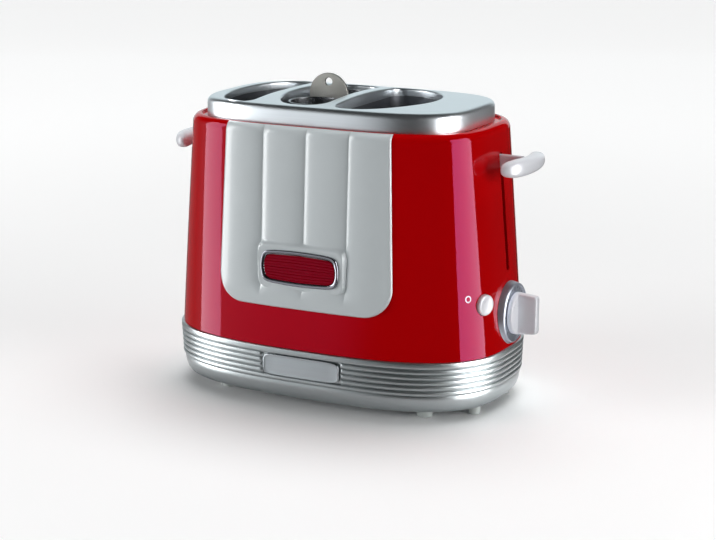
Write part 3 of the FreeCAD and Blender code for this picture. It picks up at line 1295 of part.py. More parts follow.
doc.recompute()
for thing in doc.Objects:
    if "Invalid" in thing.State or "Error" in thing.State:
        raise RuntimeError(f"{thing.Name} did not compute: {thing.State}")
os.makedirs("parts", exist_ok=True)
for label, piece in NODES.items():
    shape = piece.Shape
    if shape.isNull() or not shape.isValid() or not shape.Solids:
        raise RuntimeError(f"{label} has no sound shape")
    shape.exportStep(os.path.join("parts", label + ".step"))
    box_size = shape.BoundBox
    print(f"{label}: {len(shape.Solids)} solids, volume {shape.Volume:.0f}, "
          f"x {box_size.XMin:.1f} {box_size.XMax:.1f} y {box_size.YMin:.1f} {box_size.YMax:.1f} "
          f"z {box_size.ZMin:.1f} {box_size.ZMax:.1f}")
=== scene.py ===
import json
import math

import bmesh
import bpy
from bpy.props import FloatProperty, FloatVectorProperty, IntProperty, PointerProperty
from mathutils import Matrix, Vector
from mathutils.geometry import delaunay_2d_cdt


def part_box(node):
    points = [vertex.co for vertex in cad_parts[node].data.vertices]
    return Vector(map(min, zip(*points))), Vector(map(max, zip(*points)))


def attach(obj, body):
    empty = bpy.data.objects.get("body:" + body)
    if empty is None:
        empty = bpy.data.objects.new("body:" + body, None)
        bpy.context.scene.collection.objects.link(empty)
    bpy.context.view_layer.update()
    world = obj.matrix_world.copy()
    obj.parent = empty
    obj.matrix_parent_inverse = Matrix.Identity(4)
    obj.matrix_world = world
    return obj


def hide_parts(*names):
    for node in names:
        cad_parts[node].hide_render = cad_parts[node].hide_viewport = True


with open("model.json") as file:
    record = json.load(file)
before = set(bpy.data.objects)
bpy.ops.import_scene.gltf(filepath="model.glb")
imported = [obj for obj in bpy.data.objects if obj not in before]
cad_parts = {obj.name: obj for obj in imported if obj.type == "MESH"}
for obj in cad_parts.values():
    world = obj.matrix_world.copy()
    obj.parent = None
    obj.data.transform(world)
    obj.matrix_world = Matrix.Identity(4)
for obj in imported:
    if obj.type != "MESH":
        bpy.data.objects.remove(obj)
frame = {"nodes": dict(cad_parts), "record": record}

bl_info = {
    "name": "Hot dog toaster",
    "version": (1, 0, 0),
    "blender": (4, 5, 0),
    "location": "3D View > Sidebar > Toaster",
    "description": "Builds the visible pieces of a hot dog toaster and its studio",
    "category": "Object",
}

MM = 0.001
FULL_TURN = 2.0 * math.pi
QUARTER = math.pi / 2


# Settings

class ToasterShape(bpy.types.PropertyGroup):
    """Lengths that the dressed pieces are built from."""
    ring_steps: IntProperty(name="Ring steps", description="Points round each oval", default=360, min=96)
    base_power: FloatProperty(name="Base power", description="Squareness of the base's oval", default=2.84)
    base_draft: FloatProperty(
        name="Base draft", description="How much the base narrows from lip to bowl",
        default=1.0 * MM, unit="LENGTH", subtype="DISTANCE")
    rib_pitch: FloatProperty(
        name="Rib pitch", description="Distance between the base's ribs",
        default=3.8 * MM, unit="LENGTH", subtype="DISTANCE")
    rib_count: IntProperty(name="Ribs", description="Number of ribs round the base", default=5, min=1)
    rib_depth: FloatProperty(
        name="Rib depth", description="Depth of the grooves between the ribs",
        default=1.3 * MM, unit="LENGTH", subtype="DISTANCE")
    lip_height: FloatProperty(
        name="Lip height", description="Smooth band above the ribs",
        default=4.8 * MM, unit="LENGTH", subtype="DISTANCE")
    shell_height: FloatProperty(
        name="Shell height", description="From the shell's foot to its shoulder",
        default=145.5 * MM, unit="LENGTH", subtype="DISTANCE")
    shell_taper: FloatVectorProperty(
        name="Shell taper", description="How much the ends and the front lean in", size=2,
        default=(12.8 * MM, 8.8 * MM), unit="LENGTH", subtype="TRANSLATION")
    shell_top_power: FloatProperty(
        name="Shoulder power", description="Squareness of the shell at its shoulder", default=3.4)
    shoulder_height: FloatProperty(
        name="Shoulder height", description="Height of the rounded shoulder",
        default=7.0 * MM, unit="LENGTH", subtype="DISTANCE")
    shoulder_inset: FloatProperty(
        name="Shoulder inset", description="How far the shoulder curves in",
        default=5.5 * MM, unit="LENGTH", subtype="DISTANCE")
    rim_power: FloatProperty(name="Rim power", description="Squareness of the shell's rim", default=3.6)
    shell_wall: FloatProperty(
        name="Shell wall", description="Thickness of the shell",
        default=2.0 * MM, unit="LENGTH", subtype="DISTANCE")
    plate_power: FloatProperty(name="Plate power", description="Squareness of the top plate", default=3.8)
    plate_edge: FloatProperty(
        name="Plate edge", description="Radius of the top plate's rounded edge",
        default=4.4 * MM, unit="LENGTH", subtype="DISTANCE")
    plate_crown: FloatProperty(
        name="Plate crown", description="Rise of the top plate to its middle",
        default=3.0 * MM, unit="LENGTH", subtype="DISTANCE")
    collar_roll: FloatProperty(
        name="Collar roll", description="Radius of the rolled edges round the wells",
        default=1.5 * MM, unit="LENGTH", subtype="DISTANCE")
    panel_proud: FloatProperty(
        name="Panel proud", description="How far the front panel stands out",
        default=3.0 * MM, unit="LENGTH", subtype="DISTANCE")
    flute_depth: FloatProperty(
        name="Flute depth", description="Swell of the panel's flutes",
        default=2.6 * MM, unit="LENGTH", subtype="DISTANCE")


class ToasterStudio(bpy.types.PropertyGroup):
    """Light and camera of the studio."""
    lens: FloatProperty(
        name="Lens", description="Focal length on a 36 mm sensor", default=91.3, subtype="DISTANCE_CAMERA")
    camera_place: FloatVectorProperty(
        name="Camera place", description="Where the camera stands",
        default=(0.5778, -1.1183, 0.3969), unit="LENGTH", subtype="TRANSLATION")
    camera_target: FloatVectorProperty(
        name="Camera target", description="What the camera points at",
        default=(0.00619, 0.0, 0.08398), unit="LENGTH", subtype="TRANSLATION")
    key_strength: FloatProperty(
        name="Key strength", description="Strength of the two overhead lights together", default=2.4)
    fill_power: FloatProperty(name="Fill power", description="Power of the left front light", default=33.0)
    side_power: FloatProperty(
        name="Side power", description="Power of the light at the dial end", default=20.0)
    strip_glow: FloatProperty(name="Strip glow", description="Radiance of each reflected strip", default=11.0)
    surround: FloatProperty(name="Surround", description="Brightness of the room", default=0.27)


# Mesh helpers

def smoothstep(low, high, value):
    share = min(max((value - low) / (high - low), 0.0), 1.0)
    return share * share * (3.0 - 2.0 * share)


def smooth_max(first, second, radius):
    gap = max(radius - abs(first - second), 0.0) / radius
    return max(first, second) + gap * gap * radius * 0.25


def round_off(share):
    """A quarter circle's height at a share of its width."""
    return math.sqrt(max(1.0 - (1.0 - share) ** 2, 0.0))


def even_turns(steps):
    return [FULL_TURN * step / steps for step in range(steps)]


def oval_points(power, turns):
    """Points of a squared circle that reaches 1 along each axis."""
    points = []
    for turn in turns:
        across, along = math.cos(turn), math.sin(turn)
        reach = (abs(across) ** power + abs(along) ** power) ** (-1.0 / power)
        points.append((across * reach, along * reach))
    return points


def oval_ring(half_width, half_depth, power, height, turns):
    return [(half_width * across, half_depth * along, height) for across, along in oval_points(power, turns)]


def oval_depth(half_width, half_depth, power, across):
    """How deep an oval is at a place across its width."""
    share = min(abs(across) / half_width, 1.0) ** power
    return half_depth * (1.0 - share) ** (1.0 / power)


def in_mm(pairs):
    return [tuple(value * MM for value in pair) for pair in pairs]


def loft(rings, closed=False, cap_first=False, cap_last=False):
    """Verts and faces through closed rings of equal count."""
    count = len(rings[0])
    verts = [point for ring in rings for point in ring]
    faces = []
    pairs = list(zip(range(len(rings)), range(1, len(rings))))
    if closed:
        pairs.append((len(rings) - 1, 0))
    for low, high in pairs:
        for step in range(count):
            following = (step + 1) % count
            faces.append((low * count + step, low * count + following,
                          high * count + following, high * count + step))
    for wanted, ring, flip in ((cap_first, 0, True), (cap_last, len(rings) - 1, False)):
        if wanted:
            cap = [ring * count + step for step in range(count)]
            faces.append(tuple(reversed(cap)) if flip else tuple(cap))
    return verts, faces


def lathe(profile, place, axis, steps=96, closed=False):
    """Verts and faces of (radius, along) points turned round an axis through a place."""
    axis = Vector(axis).normalized()
    side = axis.orthogonal().normalized()
    other = axis.cross(side)
    rings = []
    for radius, along in profile:
        rings.append([tuple(Vector(place) + axis * along
                            + (side * math.cos(turn) + other * math.sin(turn)) * radius)
                      for turn in even_turns(steps)])
    return loft(rings, closed=closed, cap_first=not closed, cap_last=not closed)


def slab(front, back, count, back_faces=True):
    """A grid in rows of count points, the like grid behind it, and the edge between them."""
    lines = len(front) // count
    faces = []
    for shift in (0, len(front)) if back_faces else (0,):
        for row in range(lines - 1):
            for column in range(count - 1):
                first = shift + row * count + column
                face = (first, first + 1, first + 1 + count, first + count)
                faces.append(tuple(reversed(face)) if shift else face)
    edge = list(range(count))
    edge += [row * count + count - 1 for row in range(1, lines)]
    edge += [(lines - 1) * count + column for column in range(count - 2, -1, -1)]
    edge += [row * count for row in range(lines - 2, 0, -1)]
    for here, there in zip(edge, edge[1:] + edge[:1]):
        faces.append((here, there, there + len(front), here + len(front)))
    return front + back, faces


def inside(point, outline):
    """Whether a point lies in a closed outline."""
    x, y = point
    hit = False
    for (x0, y0), (x1, y1) in zip(outline, outline[1:] + outline[:1]):
        if (y0 > y) != (y1 > y) and x < (x1 - x0) * (y - y0) / (y1 - y0) + x0:
            hit = not hit
    return hit


def fill(outline, holes, extra=()):
    """Points and triangles that fill a flat outline round its holes, through any extra points."""
    points, edges = [], []
    for ring in [outline] + holes:
        shift = len(points)
        points += ring
        edges += [(shift + step, shift + (step + 1) % len(ring)) for step in range(len(ring))]
    points += extra
    found, _, triangles, *_ = delaunay_2d_cdt([Vector(point) for point in points], edges, [], 1, 1e-7)
    faces = []
    for triangle in triangles:
        centre = (sum(found[index].x for index in triangle) / 3,
                  sum(found[index].y for index in triangle) / 3)
        if inside(centre, outline) and not any(inside(centre, hole) for hole in holes):
            faces.append(tuple(triangle))
    return found, faces


def block(low, high):
    """A box between two corners as verts and faces."""
    (x0, y0, z0), (x1, y1, z1) = low, high
    verts = [(x0, y0, z0), (x1, y0, z0), (x1, y1, z0), (x0, y1, z0),
             (x0, y0, z1), (x1, y0, z1), (x1, y1, z1), (x0, y1, z1)]
    faces = [(0, 3, 2, 1), (4, 5, 6, 7), (0, 1, 5, 4), (1, 2, 6, 5), (2, 3, 7, 6), (3, 0, 4, 7)]
    return verts, faces


def joined(parts):
    """Several verts-and-faces pairs as one."""
    verts, faces = [], []
    for part_verts, part_faces in parts:
        shift = len(verts)
        verts.extend(part_verts)
        faces.extend(tuple(index + shift for index in face) for face in part_faces)
    return verts, faces


def new_object(name, verts, faces):
    mesh = bpy.data.meshes.new(name)
    mesh.from_pydata([tuple(vert) for vert in verts], [], faces)
    piece = bpy.data.objects.new(name, mesh)
    bpy.context.scene.collection.objects.link(piece)
    return piece


def face_outward(mesh, weld=0.0):
    """Turn the faces outward, with points closer than the weld length made one."""
    tidy = bmesh.new()
    tidy.from_mesh(mesh)
    if weld:
        bmesh.ops.remove_doubles(tidy, verts=tidy.verts, dist=weld)
    bmesh.ops.recalc_face_normals(tidy, faces=tidy.faces)
    tidy.to_mesh(mesh)
    tidy.free()


def finish_shading(piece, sharp):
    piece.data.shade_smooth()
    piece.data.set_sharp_from_angle(angle=math.radians(sharp))


def make_piece(name, verts, faces, body, slot, replaced=(), sharp=35.0):
    """A smooth-shaded mesh piece that rides on a body and wears its slot's material."""
    piece = new_object(name, verts, faces)
    piece.data.validate()
    face_outward(piece.data)
    finish_shading(piece, sharp)
    piece.data.materials.append(slot_material(slot))
    if replaced:
        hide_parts(*replaced)
    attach(piece, body)
    return piece


def bake(piece, sharp):
    """Turn a piece's modifiers into plain mesh."""
    bpy.context.view_layer.update()
    graph = bpy.context.evaluated_depsgraph_get()
    baked = bpy.data.meshes.new_from_object(piece.evaluated_get(graph), depsgraph=graph)
    piece.modifiers.clear()
    old = piece.data
    piece.data = baked
    bpy.data.meshes.remove(old)
    finish_shading(piece, sharp)


def thicken(piece, thickness):
    """Give an open sheet its thickness, inward from its face."""
    sheet = piece.modifiers.new("sheet", "SOLIDIFY")
    sheet.thickness = thickness
    sheet.offset = -1.0


def carve(piece, solids, sharp):
    """Cut closed solids, given as verts and faces, out of a piece."""
    cutters = []
    for number, (verts, faces) in enumerate(solids):
        cutter = new_object(f"cutter_{number}", verts, faces)
        face_outward(cutter.data)
        cut = piece.modifiers.new(f"cut_{number}", "BOOLEAN")
        cut.operation = "DIFFERENCE"
        cut.solver = "EXACT"
        cut.object = cutter
        cutters.append(cutter)
    bake(piece, sharp)
    for cutter in cutters:
        mesh = cutter.data
        bpy.data.objects.remove(cutter)
        bpy.data.meshes.remove(mesh)


# Forms shared by several pieces

class Body:
    """The toaster's main surfaces, from the settings and the CAD boxes."""

    def __init__(self, shape):
        self.shape = shape
        low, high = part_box("base_housing")
        self.base_half = (high.x, high.y)
        self.base_bottom, self.base_top = low.z, high.z
        low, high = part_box("outer_shell")
        self.shell_half = (high.x, high.y)
        self.shell_bottom, self.rim = low.z, high.z
        self.shoulder = self.rim - shape.shoulder_height
        self.ribs_top = self.base_top - shape.lip_height
        self.ribs_bottom = self.ribs_top - shape.rib_pitch * shape.rib_count

    def base_inset(self, height):
        return self.shape.base_draft * (self.base_top - height) / (self.base_top - self.ribs_bottom)

    def base_ring(self, height, inset, turns):
        half_width, half_depth = self.base_half
        return oval_ring(half_width - inset, half_depth - inset, self.shape.base_power, height, turns)

    def shell_oval(self, height, offset=0.0):
        """Half width, half depth and power of the shell below its shoulder."""
        shape = self.shape
        share = (height - self.base_top) / shape.shell_height
        power = shape.base_power + (shape.shell_top_power - shape.base_power) * share
        return (self.shell_half[0] - shape.shell_taper[0] * share + offset,
                self.shell_half[1] - shape.shell_taper[1] * share + offset, power)

    def outer_oval(self, height):
        """The same, with the rounded shoulder above."""
        if height <= self.shoulder:
            return self.shell_oval(height)
        shape = self.shape
        rise = min((height - self.shoulder) / shape.shoulder_height, 1.0)
        inset = shape.shoulder_inset * (1.0 - math.sqrt(1.0 - rise * rise))
        half_width, half_depth, _ = self.shell_oval(self.shoulder)
        turn = math.asin(rise) / QUARTER
        power = shape.shell_top_power + (shape.rim_power - shape.shell_top_power) * turn
        return half_width - inset, half_depth - inset, power

    def front_at(self, across, height):
        """How far the shell's front lies from the middle."""
        half_width, half_depth, power = self.outer_oval(height)
        return oval_depth(half_width, half_depth, power, across)

    def end_at(self, along, height):
        """How far the shell's end lies from the middle."""
        half_width, half_depth, power = self.outer_oval(height)
        return oval_depth(half_depth, half_width, power, along)


# The wells' outlines in mm: round from start to middle, straight to end, with rounded corners there
WELLS = {
    "left": {"start": -88.3, "middle": -60.0, "end": -51.0, "depth": 51.5, "corner": 8.0},
    "basket": {"start": -43.0, "middle": -18.0, "end": 3.0, "depth": 49.5, "corner": 14.0},
    "right": {"start": 65.3, "middle": 24.0, "end": 11.5, "depth": 50.0, "corner": 9.0},
}
BOW_STEPS = 60
CORNER_STEPS = 16
STRAIGHT_STEPS = 4
END_STEPS = 24


def well_outline(well, offset):
    """A D-shaped outline in metres, moved out by an offset in metres."""
    side = 1.0 if well["end"] > well["start"] else -1.0
    start = well["start"] * MM - side * offset
    middle = well["middle"] * MM
    end = well["end"] * MM + side * offset
    depth = well["depth"] * MM + offset
    corner = min(well["corner"] * MM + offset, abs(end - middle) * 0.9)
    inner = end - side * corner
    points = []
    for step in range(BOW_STEPS + 1):
        turn = math.pi * (step / BOW_STEPS) - QUARTER
        points.append((middle - (middle - start) * math.cos(turn), depth * math.sin(turn)))
    for step in range(1, STRAIGHT_STEPS):
        points.append((middle + (inner - middle) * step / STRAIGHT_STEPS, depth))
    for step in range(CORNER_STEPS + 1):
        turn = QUARTER * (1 - step / CORNER_STEPS)
        points.append((inner + side * corner * math.cos(turn), depth - corner + corner * math.sin(turn)))
    for step in range(1, END_STEPS):
        points.append((end, (depth - corner) * (1 - 2 * step / END_STEPS)))
    for step in range(CORNER_STEPS + 1):
        turn = -QUARTER * (step / CORNER_STEPS)
        points.append((inner + side * corner * math.cos(turn), -depth + corner + corner * math.sin(turn)))
    for step in range(1, STRAIGHT_STEPS):
        points.append((inner + (middle - inner) * step / STRAIGHT_STEPS, -depth))
    return points


# Materials: the kind of grain, the colour, how metallic and how rough each slot is

SLOTS = {
    "silver_plastic": ("satin", (0.42, 0.45, 0.46), 1.0, 0.35),
    "silver_plate": ("brushed", (0.43, 0.46, 0.48), 1.0, 0.30),
    "foot_rubber": ("matte", (0.56, 0.60, 0.58), 0.0, 0.55),
    "screw_steel": ("satin", (0.55, 0.55, 0.55), 1.0, 0.35),
    "black_plastic": ("matte", (0.022, 0.022, 0.024), 0.0, 0.5),
    "tray_steel": ("brushed", (0.55, 0.56, 0.57), 1.0, 0.38),
    "red_gloss": ("gloss", (0.44, 0.0004, 0.0012), 0.0, 0.05),
    "pale_gloss": ("gloss", (0.56, 0.605, 0.62), 0.0, 0.3),
    "chrome_trim": ("plated", (0.27, 0.27, 0.30), 1.0, 0.2),
    "red_insert": ("gloss", (0.24, 0.0004, 0.006), 0.0, 0.25),
    "brushed_plate": ("brushed", (0.76, 0.80, 0.83), 1.0, 0.33),
    "liner_steel": ("brushed", (0.34, 0.35, 0.38), 1.0, 0.36),
    "chassis_steel": ("satin", (0.50, 0.51, 0.52), 1.0, 0.42),
    "mica": ("mica", (0.50, 0.42, 0.27), 0.0, 0.55),
    "heater_ribbon": ("satin", (0.20, 0.16, 0.13), 1.0, 0.5),
    "rod_steel": ("brushed", (0.60, 0.60, 0.62), 1.0, 0.25),
    "spring_steel": ("satin", (0.45, 0.45, 0.46), 1.0, 0.35),
    "coil_copper": ("winding", (0.42, 0.13, 0.05), 0.8, 0.35),
    "bezel_silver": ("satin", (0.35, 0.37, 0.42), 1.0, 0.4),
    "bushing_nylon": ("matte", (0.75, 0.74, 0.66), 0.0, 0.45),
    "white_gloss": ("gloss", (0.72, 0.73, 0.77), 0.0, 0.28),
    "basket_steel": ("brushed", (0.45, 0.46, 0.48), 1.0, 0.26),
    "handle_steel": ("brushed", (0.42, 0.41, 0.38), 1.0, 0.42),
}
# Each kind's grain: how fine along each axis, its height in metres, its reach in roughness and in tone
DETAIL = {
    "satin": {"noise": (900.0, 900.0, 900.0), "bump": 6e-7, "spread": 0.02, "tone": 0.03},
    "brushed": {"noise": (20.0, 1100.0, 1100.0), "bump": 8e-7, "spread": 0.05, "tone": 0.06},
    "matte": {"noise": (2400.0, 2400.0, 2400.0), "bump": 2e-5, "spread": 0.12, "tone": 0.15},
    "gloss": {"noise": (120.0, 120.0, 120.0), "bump": 5e-6, "spread": 0.02, "tone": 0.02},
    "plated": {"noise": (300.0, 300.0, 300.0), "bump": 2e-6, "spread": 0.04, "tone": 0.05},
    "mica": {"noise": (140.0, 140.0, 420.0), "bump": 5e-5, "spread": 0.2, "tone": 0.35},
    "winding": {"noise": (60.0, 60.0, 3200.0), "bump": 1e-4, "spread": 0.1, "tone": 0.3},
}
SMOOTHEST = 0.02
BUMP_STRENGTH = 0.6
COAT = {"Coat Weight": 0.25, "Coat Roughness": 0.04}
RED_GLOSS = {"Specular Tint": (1.0, 0.19, 0.6, 1.0), "Coat Weight": 0.0, "Specular IOR Level": 0.23}


def node_material(name):
    """A new node material, its nodes, its links and its shader."""
    material = bpy.data.materials.new(name)
    material.use_nodes = True
    nodes, links = material.node_tree.nodes, material.node_tree.links
    return material, nodes, links, next(node for node in nodes if node.type == "BSDF_PRINCIPLED")


def node_range(nodes, links, source, levels, span=(0.0, 1.0), way="LINEAR"):
    """Carry a value from one span to other levels."""
    node = nodes.new("ShaderNodeMapRange")
    node.interpolation_type = way
    node.inputs["From Min"].default_value, node.inputs["From Max"].default_value = span
    node.inputs["To Min"].default_value, node.inputs["To Max"].default_value = levels
    links.new(source, node.inputs["Value"])
    return node.outputs["Result"]


def node_math(nodes, links, way, first, second):
    node = nodes.new("ShaderNodeMath")
    node.operation = way
    links.new(first, node.inputs[0])
    links.new(second, node.inputs[1])
    return node.outputs["Value"]


def slot_material(slot):
    """The node material of one of the record's slots."""
    name = f"{slot}_finish"
    if name in bpy.data.materials:
        return bpy.data.materials[name]
    kind, colour, metallic, roughness = SLOTS[slot]
    detail = DETAIL[kind]
    material, nodes, links, shader = node_material(name)
    shader.inputs["Metallic"].default_value = metallic
    place = nodes.new("ShaderNodeTexCoord")
    stretch = nodes.new("ShaderNodeMapping")
    stretch.inputs["Scale"].default_value = detail["noise"]
    links.new(place.outputs["Object"], stretch.inputs["Vector"])
    grain = nodes.new("ShaderNodeTexNoise")
    grain.inputs["Scale"].default_value = 1.0
    grain.inputs["Detail"].default_value = 4.0
    links.new(stretch.outputs["Vector"], grain.inputs["Vector"])
    tone = node_range(nodes, links, grain.outputs["Fac"], (1.0 - detail["tone"], 1.0 + detail["tone"]))
    tint = nodes.new("ShaderNodeVectorMath")
    tint.operation = "SCALE"
    tint.inputs[0].default_value = colour
    links.new(tone, tint.inputs["Scale"])
    links.new(tint.outputs["Vector"], shader.inputs["Base Color"])
    spread = node_range(nodes, links, grain.outputs["Fac"],
                        (max(roughness - detail["spread"], SMOOTHEST), roughness + detail["spread"]))
    links.new(spread, shader.inputs["Roughness"])
    bump = nodes.new("ShaderNodeBump")
    bump.inputs["Strength"].default_value = BUMP_STRENGTH
    bump.inputs["Distance"].default_value = detail["bump"]
    links.new(grain.outputs["Fac"], bump.inputs["Height"])
    links.new(bump.outputs["Normal"], shader.inputs["Normal"])
    wanted = dict(COAT) if kind == "gloss" else {}
    if slot in ("red_gloss", "red_insert"):
        wanted.update(RED_GLOSS)
    for socket, value in wanted.items():
        shader.inputs[socket].default_value = value
    return material


# Operators: one for each piece or group of like pieces

class TOASTER_OT_base(bpy.types.Operator):
    """Build the ribbed base housing, the plate in its front and its feet"""
    bl_idname = "toaster.base"
    bl_label = "Base"

    # Rise above the bottom and inset from the lip, in mm, from the middle outward and up the bowl
    BOWL = ((0.0, 116.0), (0.0, 60.0), (0.0, 10.0), (0.35, 8.2), (1.0, 6.3), (2.0, 4.8), (4.0, 3.7),
            (6.5, 2.9), (9.5, 2.35))
    # Rise above the ribs and inset, in mm, up the smooth lip
    LIP = ((0.25, 1.0), (0.35, 0.55), (0.7, 0.2), (1.2, 0.02), (2.2, 0.0), (3.4, 0.0), (4.2, 0.06),
           (4.6, 0.3), (4.8, 0.8))
    RIB_STEPS = 12
    GROOVE_SHARE = 0.02
    FLOOR = 2.5 * MM
    TRAY_GAP = 0.4 * MM
    PLATE_GAP = 0.2 * MM
    NOSE_GAP = 1.3 * MM
    POCKET = 0.6 * MM
    SCREW_AT = (104.0, 34.0)
    SCREW_HOLE = ((3.2, -2.0), (3.2, 1.7))
    # Inset and depth below the plate's face, in mm, from its back over its soft edge
    PLATE_EDGE = ((0.0, 1.6), (0.0, 0.45), (0.12, 0.15), (0.4, 0.0), (0.9, 0.0), (1.15, 0.15), (1.5, 0.2))
    PLATE_FACE = (0.3, 0.5, 0.7, 0.85, 0.97)
    PLATE_POWER = 7.0
    # Place across, place along and radius of each pair of feet, in mm
    FEET = ((-74.0, 46.0, 5.5), (81.0, 46.0, 5.5), (109.0, 26.0, 4.0))
    FOOT_EDGE = ((-1.2, 0.0), (-0.5, 0.12), (-0.1, 0.5), (0.0, 1.1), (0.45, 4.0), (0.8, 6.6))

    def execute(self, context):
        shape = context.scene.toaster_shape
        body = Body(shape)
        plate_low, plate_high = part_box("nameplate")
        left, right = plate_low.x - self.PLATE_GAP, plate_high.x + self.PLATE_GAP
        turns = self.turns(body, left, right)
        rings = [body.base_ring(body.base_bottom + rise * MM, inset * MM, turns) for rise, inset in self.BOWL]
        rings.append(body.base_ring(body.ribs_bottom - 0.3 * MM, 2.1 * MM, turns))
        for rib in range(shape.rib_count):
            start = body.ribs_bottom + shape.rib_pitch * rib
            for step in range(self.RIB_STEPS + 1):
                share = step / self.RIB_STEPS
                rise = self.GROOVE_SHARE + (1.0 - 2.0 * self.GROOVE_SHARE) * share
                height = start + shape.rib_pitch * rise
                swell = round_off(2.0 * share)
                rings.append(self.rib_ring(body, height, swell, turns, rib > 0, left, right))
        for rise, inset in self.LIP:
            height = body.ribs_top + rise * MM
            rings.append(body.base_ring(height, body.base_inset(height) + inset * MM, turns))
        for height, inset in ((body.base_top, 2.5), (body.ribs_bottom, 3.6),
                              (body.base_bottom + 2.6 * MM, 7.5), (body.base_bottom + self.FLOOR, 60.0)):
            rings.append(body.base_ring(height, inset * MM, turns))
        verts, faces = loft(rings, cap_first=True, cap_last=True)
        piece = make_piece("base_shell", verts, faces, "housing", "silver_plastic", ("base_housing",), 50.0)
        tray_low, tray_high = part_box("crumb_tray")
        cuts = [block((tray_low.x - self.TRAY_GAP, 0.02, body.base_bottom + self.FLOOR),
                      (tray_high.x + self.TRAY_GAP, 0.1, tray_high.z + self.TRAY_GAP))]
        for x in (-self.SCREW_AT[0], self.SCREW_AT[0]):
            for y in (-self.SCREW_AT[1], self.SCREW_AT[1]):
                cuts.append(lathe(in_mm(self.SCREW_HOLE), (x * MM, y * MM, body.base_bottom), (0, 0, 1), 32))
        carve(piece, cuts, 50.0)
        self.feet()
        self.plate(body, plate_low, plate_high)
        return {"FINISHED"}

    def turns(self, body, left, right):
        """Even turns, and close ones where the ribs end beside the plate."""
        half_width, half_depth = body.base_half
        turns = even_turns(body.shape.ring_steps)
        for edge in (left - 2.2 * MM, right + 2.2 * MM):
            depth = oval_depth(half_width, half_depth, body.shape.base_power, edge)
            middle = math.atan2(-depth / half_depth, edge / half_width)
            turns += [middle + step * 0.2 * MM / half_depth for step in range(-12, 13)]
        turns = sorted(turn % FULL_TURN for turn in turns)
        return [turn for turn, following in zip(turns, turns[1:] + [math.inf]) if following - turn > 1e-4]

    def rib_ring(self, body, height, swell, turns, cut_by_plate, left, right):
        """A ring whose rib ends in a round nose at each side of the front plate."""
        shape = body.shape
        half_width, half_depth = body.base_half
        radius = shape.rib_pitch / 2
        ring = []
        for across, along in oval_points(shape.base_power, turns):
            here = swell
            pocket = 0.0
            x = half_width * across
            if cut_by_plate and along < 0:
                away = max(left - x, x - right) - self.NOSE_GAP
                if away <= 0:
                    here = 0.0
                    pocket = self.POCKET
                elif away < radius:
                    here = swell * round_off(away / radius)
            inset = body.base_inset(height) + shape.rib_depth * (1.0 - here) + pocket
            ring.append(((half_width - inset) * across, (half_depth - inset) * along, height))
        return ring

    def plate(self, body, low, high):
        """The bare plate in the front, with round ends and a soft raised edge."""
        half_width, half_depth = body.base_half
        middle_x, middle_z = (low.x + high.x) / 2, (low.z + high.z) / 2
        reach_x, reach_z = (high.x - low.x) / 2, (high.z - low.z) / 2
        seat = half_depth + low.y
        profile = [(inset, inset, sunk) for inset, sunk in self.PLATE_EDGE]
        for share in self.PLATE_FACE:
            profile.append((reach_x / MM * share, reach_z / MM * share, self.PLATE_EDGE[-1][1]))
        rings = []
        for inset_x, inset_z, sunk in profile:
            ring = []
            for across, up in oval_points(self.PLATE_POWER, even_turns(240)):
                x = middle_x + (reach_x - inset_x * MM) * across
                z = middle_z + (reach_z - inset_z * MM) * up
                depth = oval_depth(half_width, half_depth, body.shape.base_power, x)
                ring.append((x, -depth + seat + sunk * MM, z))
            rings.append(ring)
        verts, faces = loft(rings, cap_first=True, cap_last=True)
        make_piece("front_plate", verts, faces, "housing", "silver_plate", ("nameplate",), 50.0)

    def feet(self):
        """Six round feet with soft edges."""
        parts = []
        for x, y, radius in self.FEET:
            profile = in_mm([(radius + flare, rise) for flare, rise in self.FOOT_EDGE])
            for end in (-1, 1):
                parts.append(lathe(profile, (x * MM, y * end * MM, 0), (0, 0, 1), 48))
        verts, faces = joined(parts)
        make_piece("round_feet", verts, faces, "housing", "foot_rubber", ("feet",))


def button_seat(body):
    """The stop button's place on the shell and the way it faces."""
    turn = math.radians(19.0)
    along, height = -30.2 * MM, 79.0 * MM
    place = Vector((body.end_at(along, height), along, height))
    return place, Vector((math.cos(turn), -math.sin(turn), 0.0))


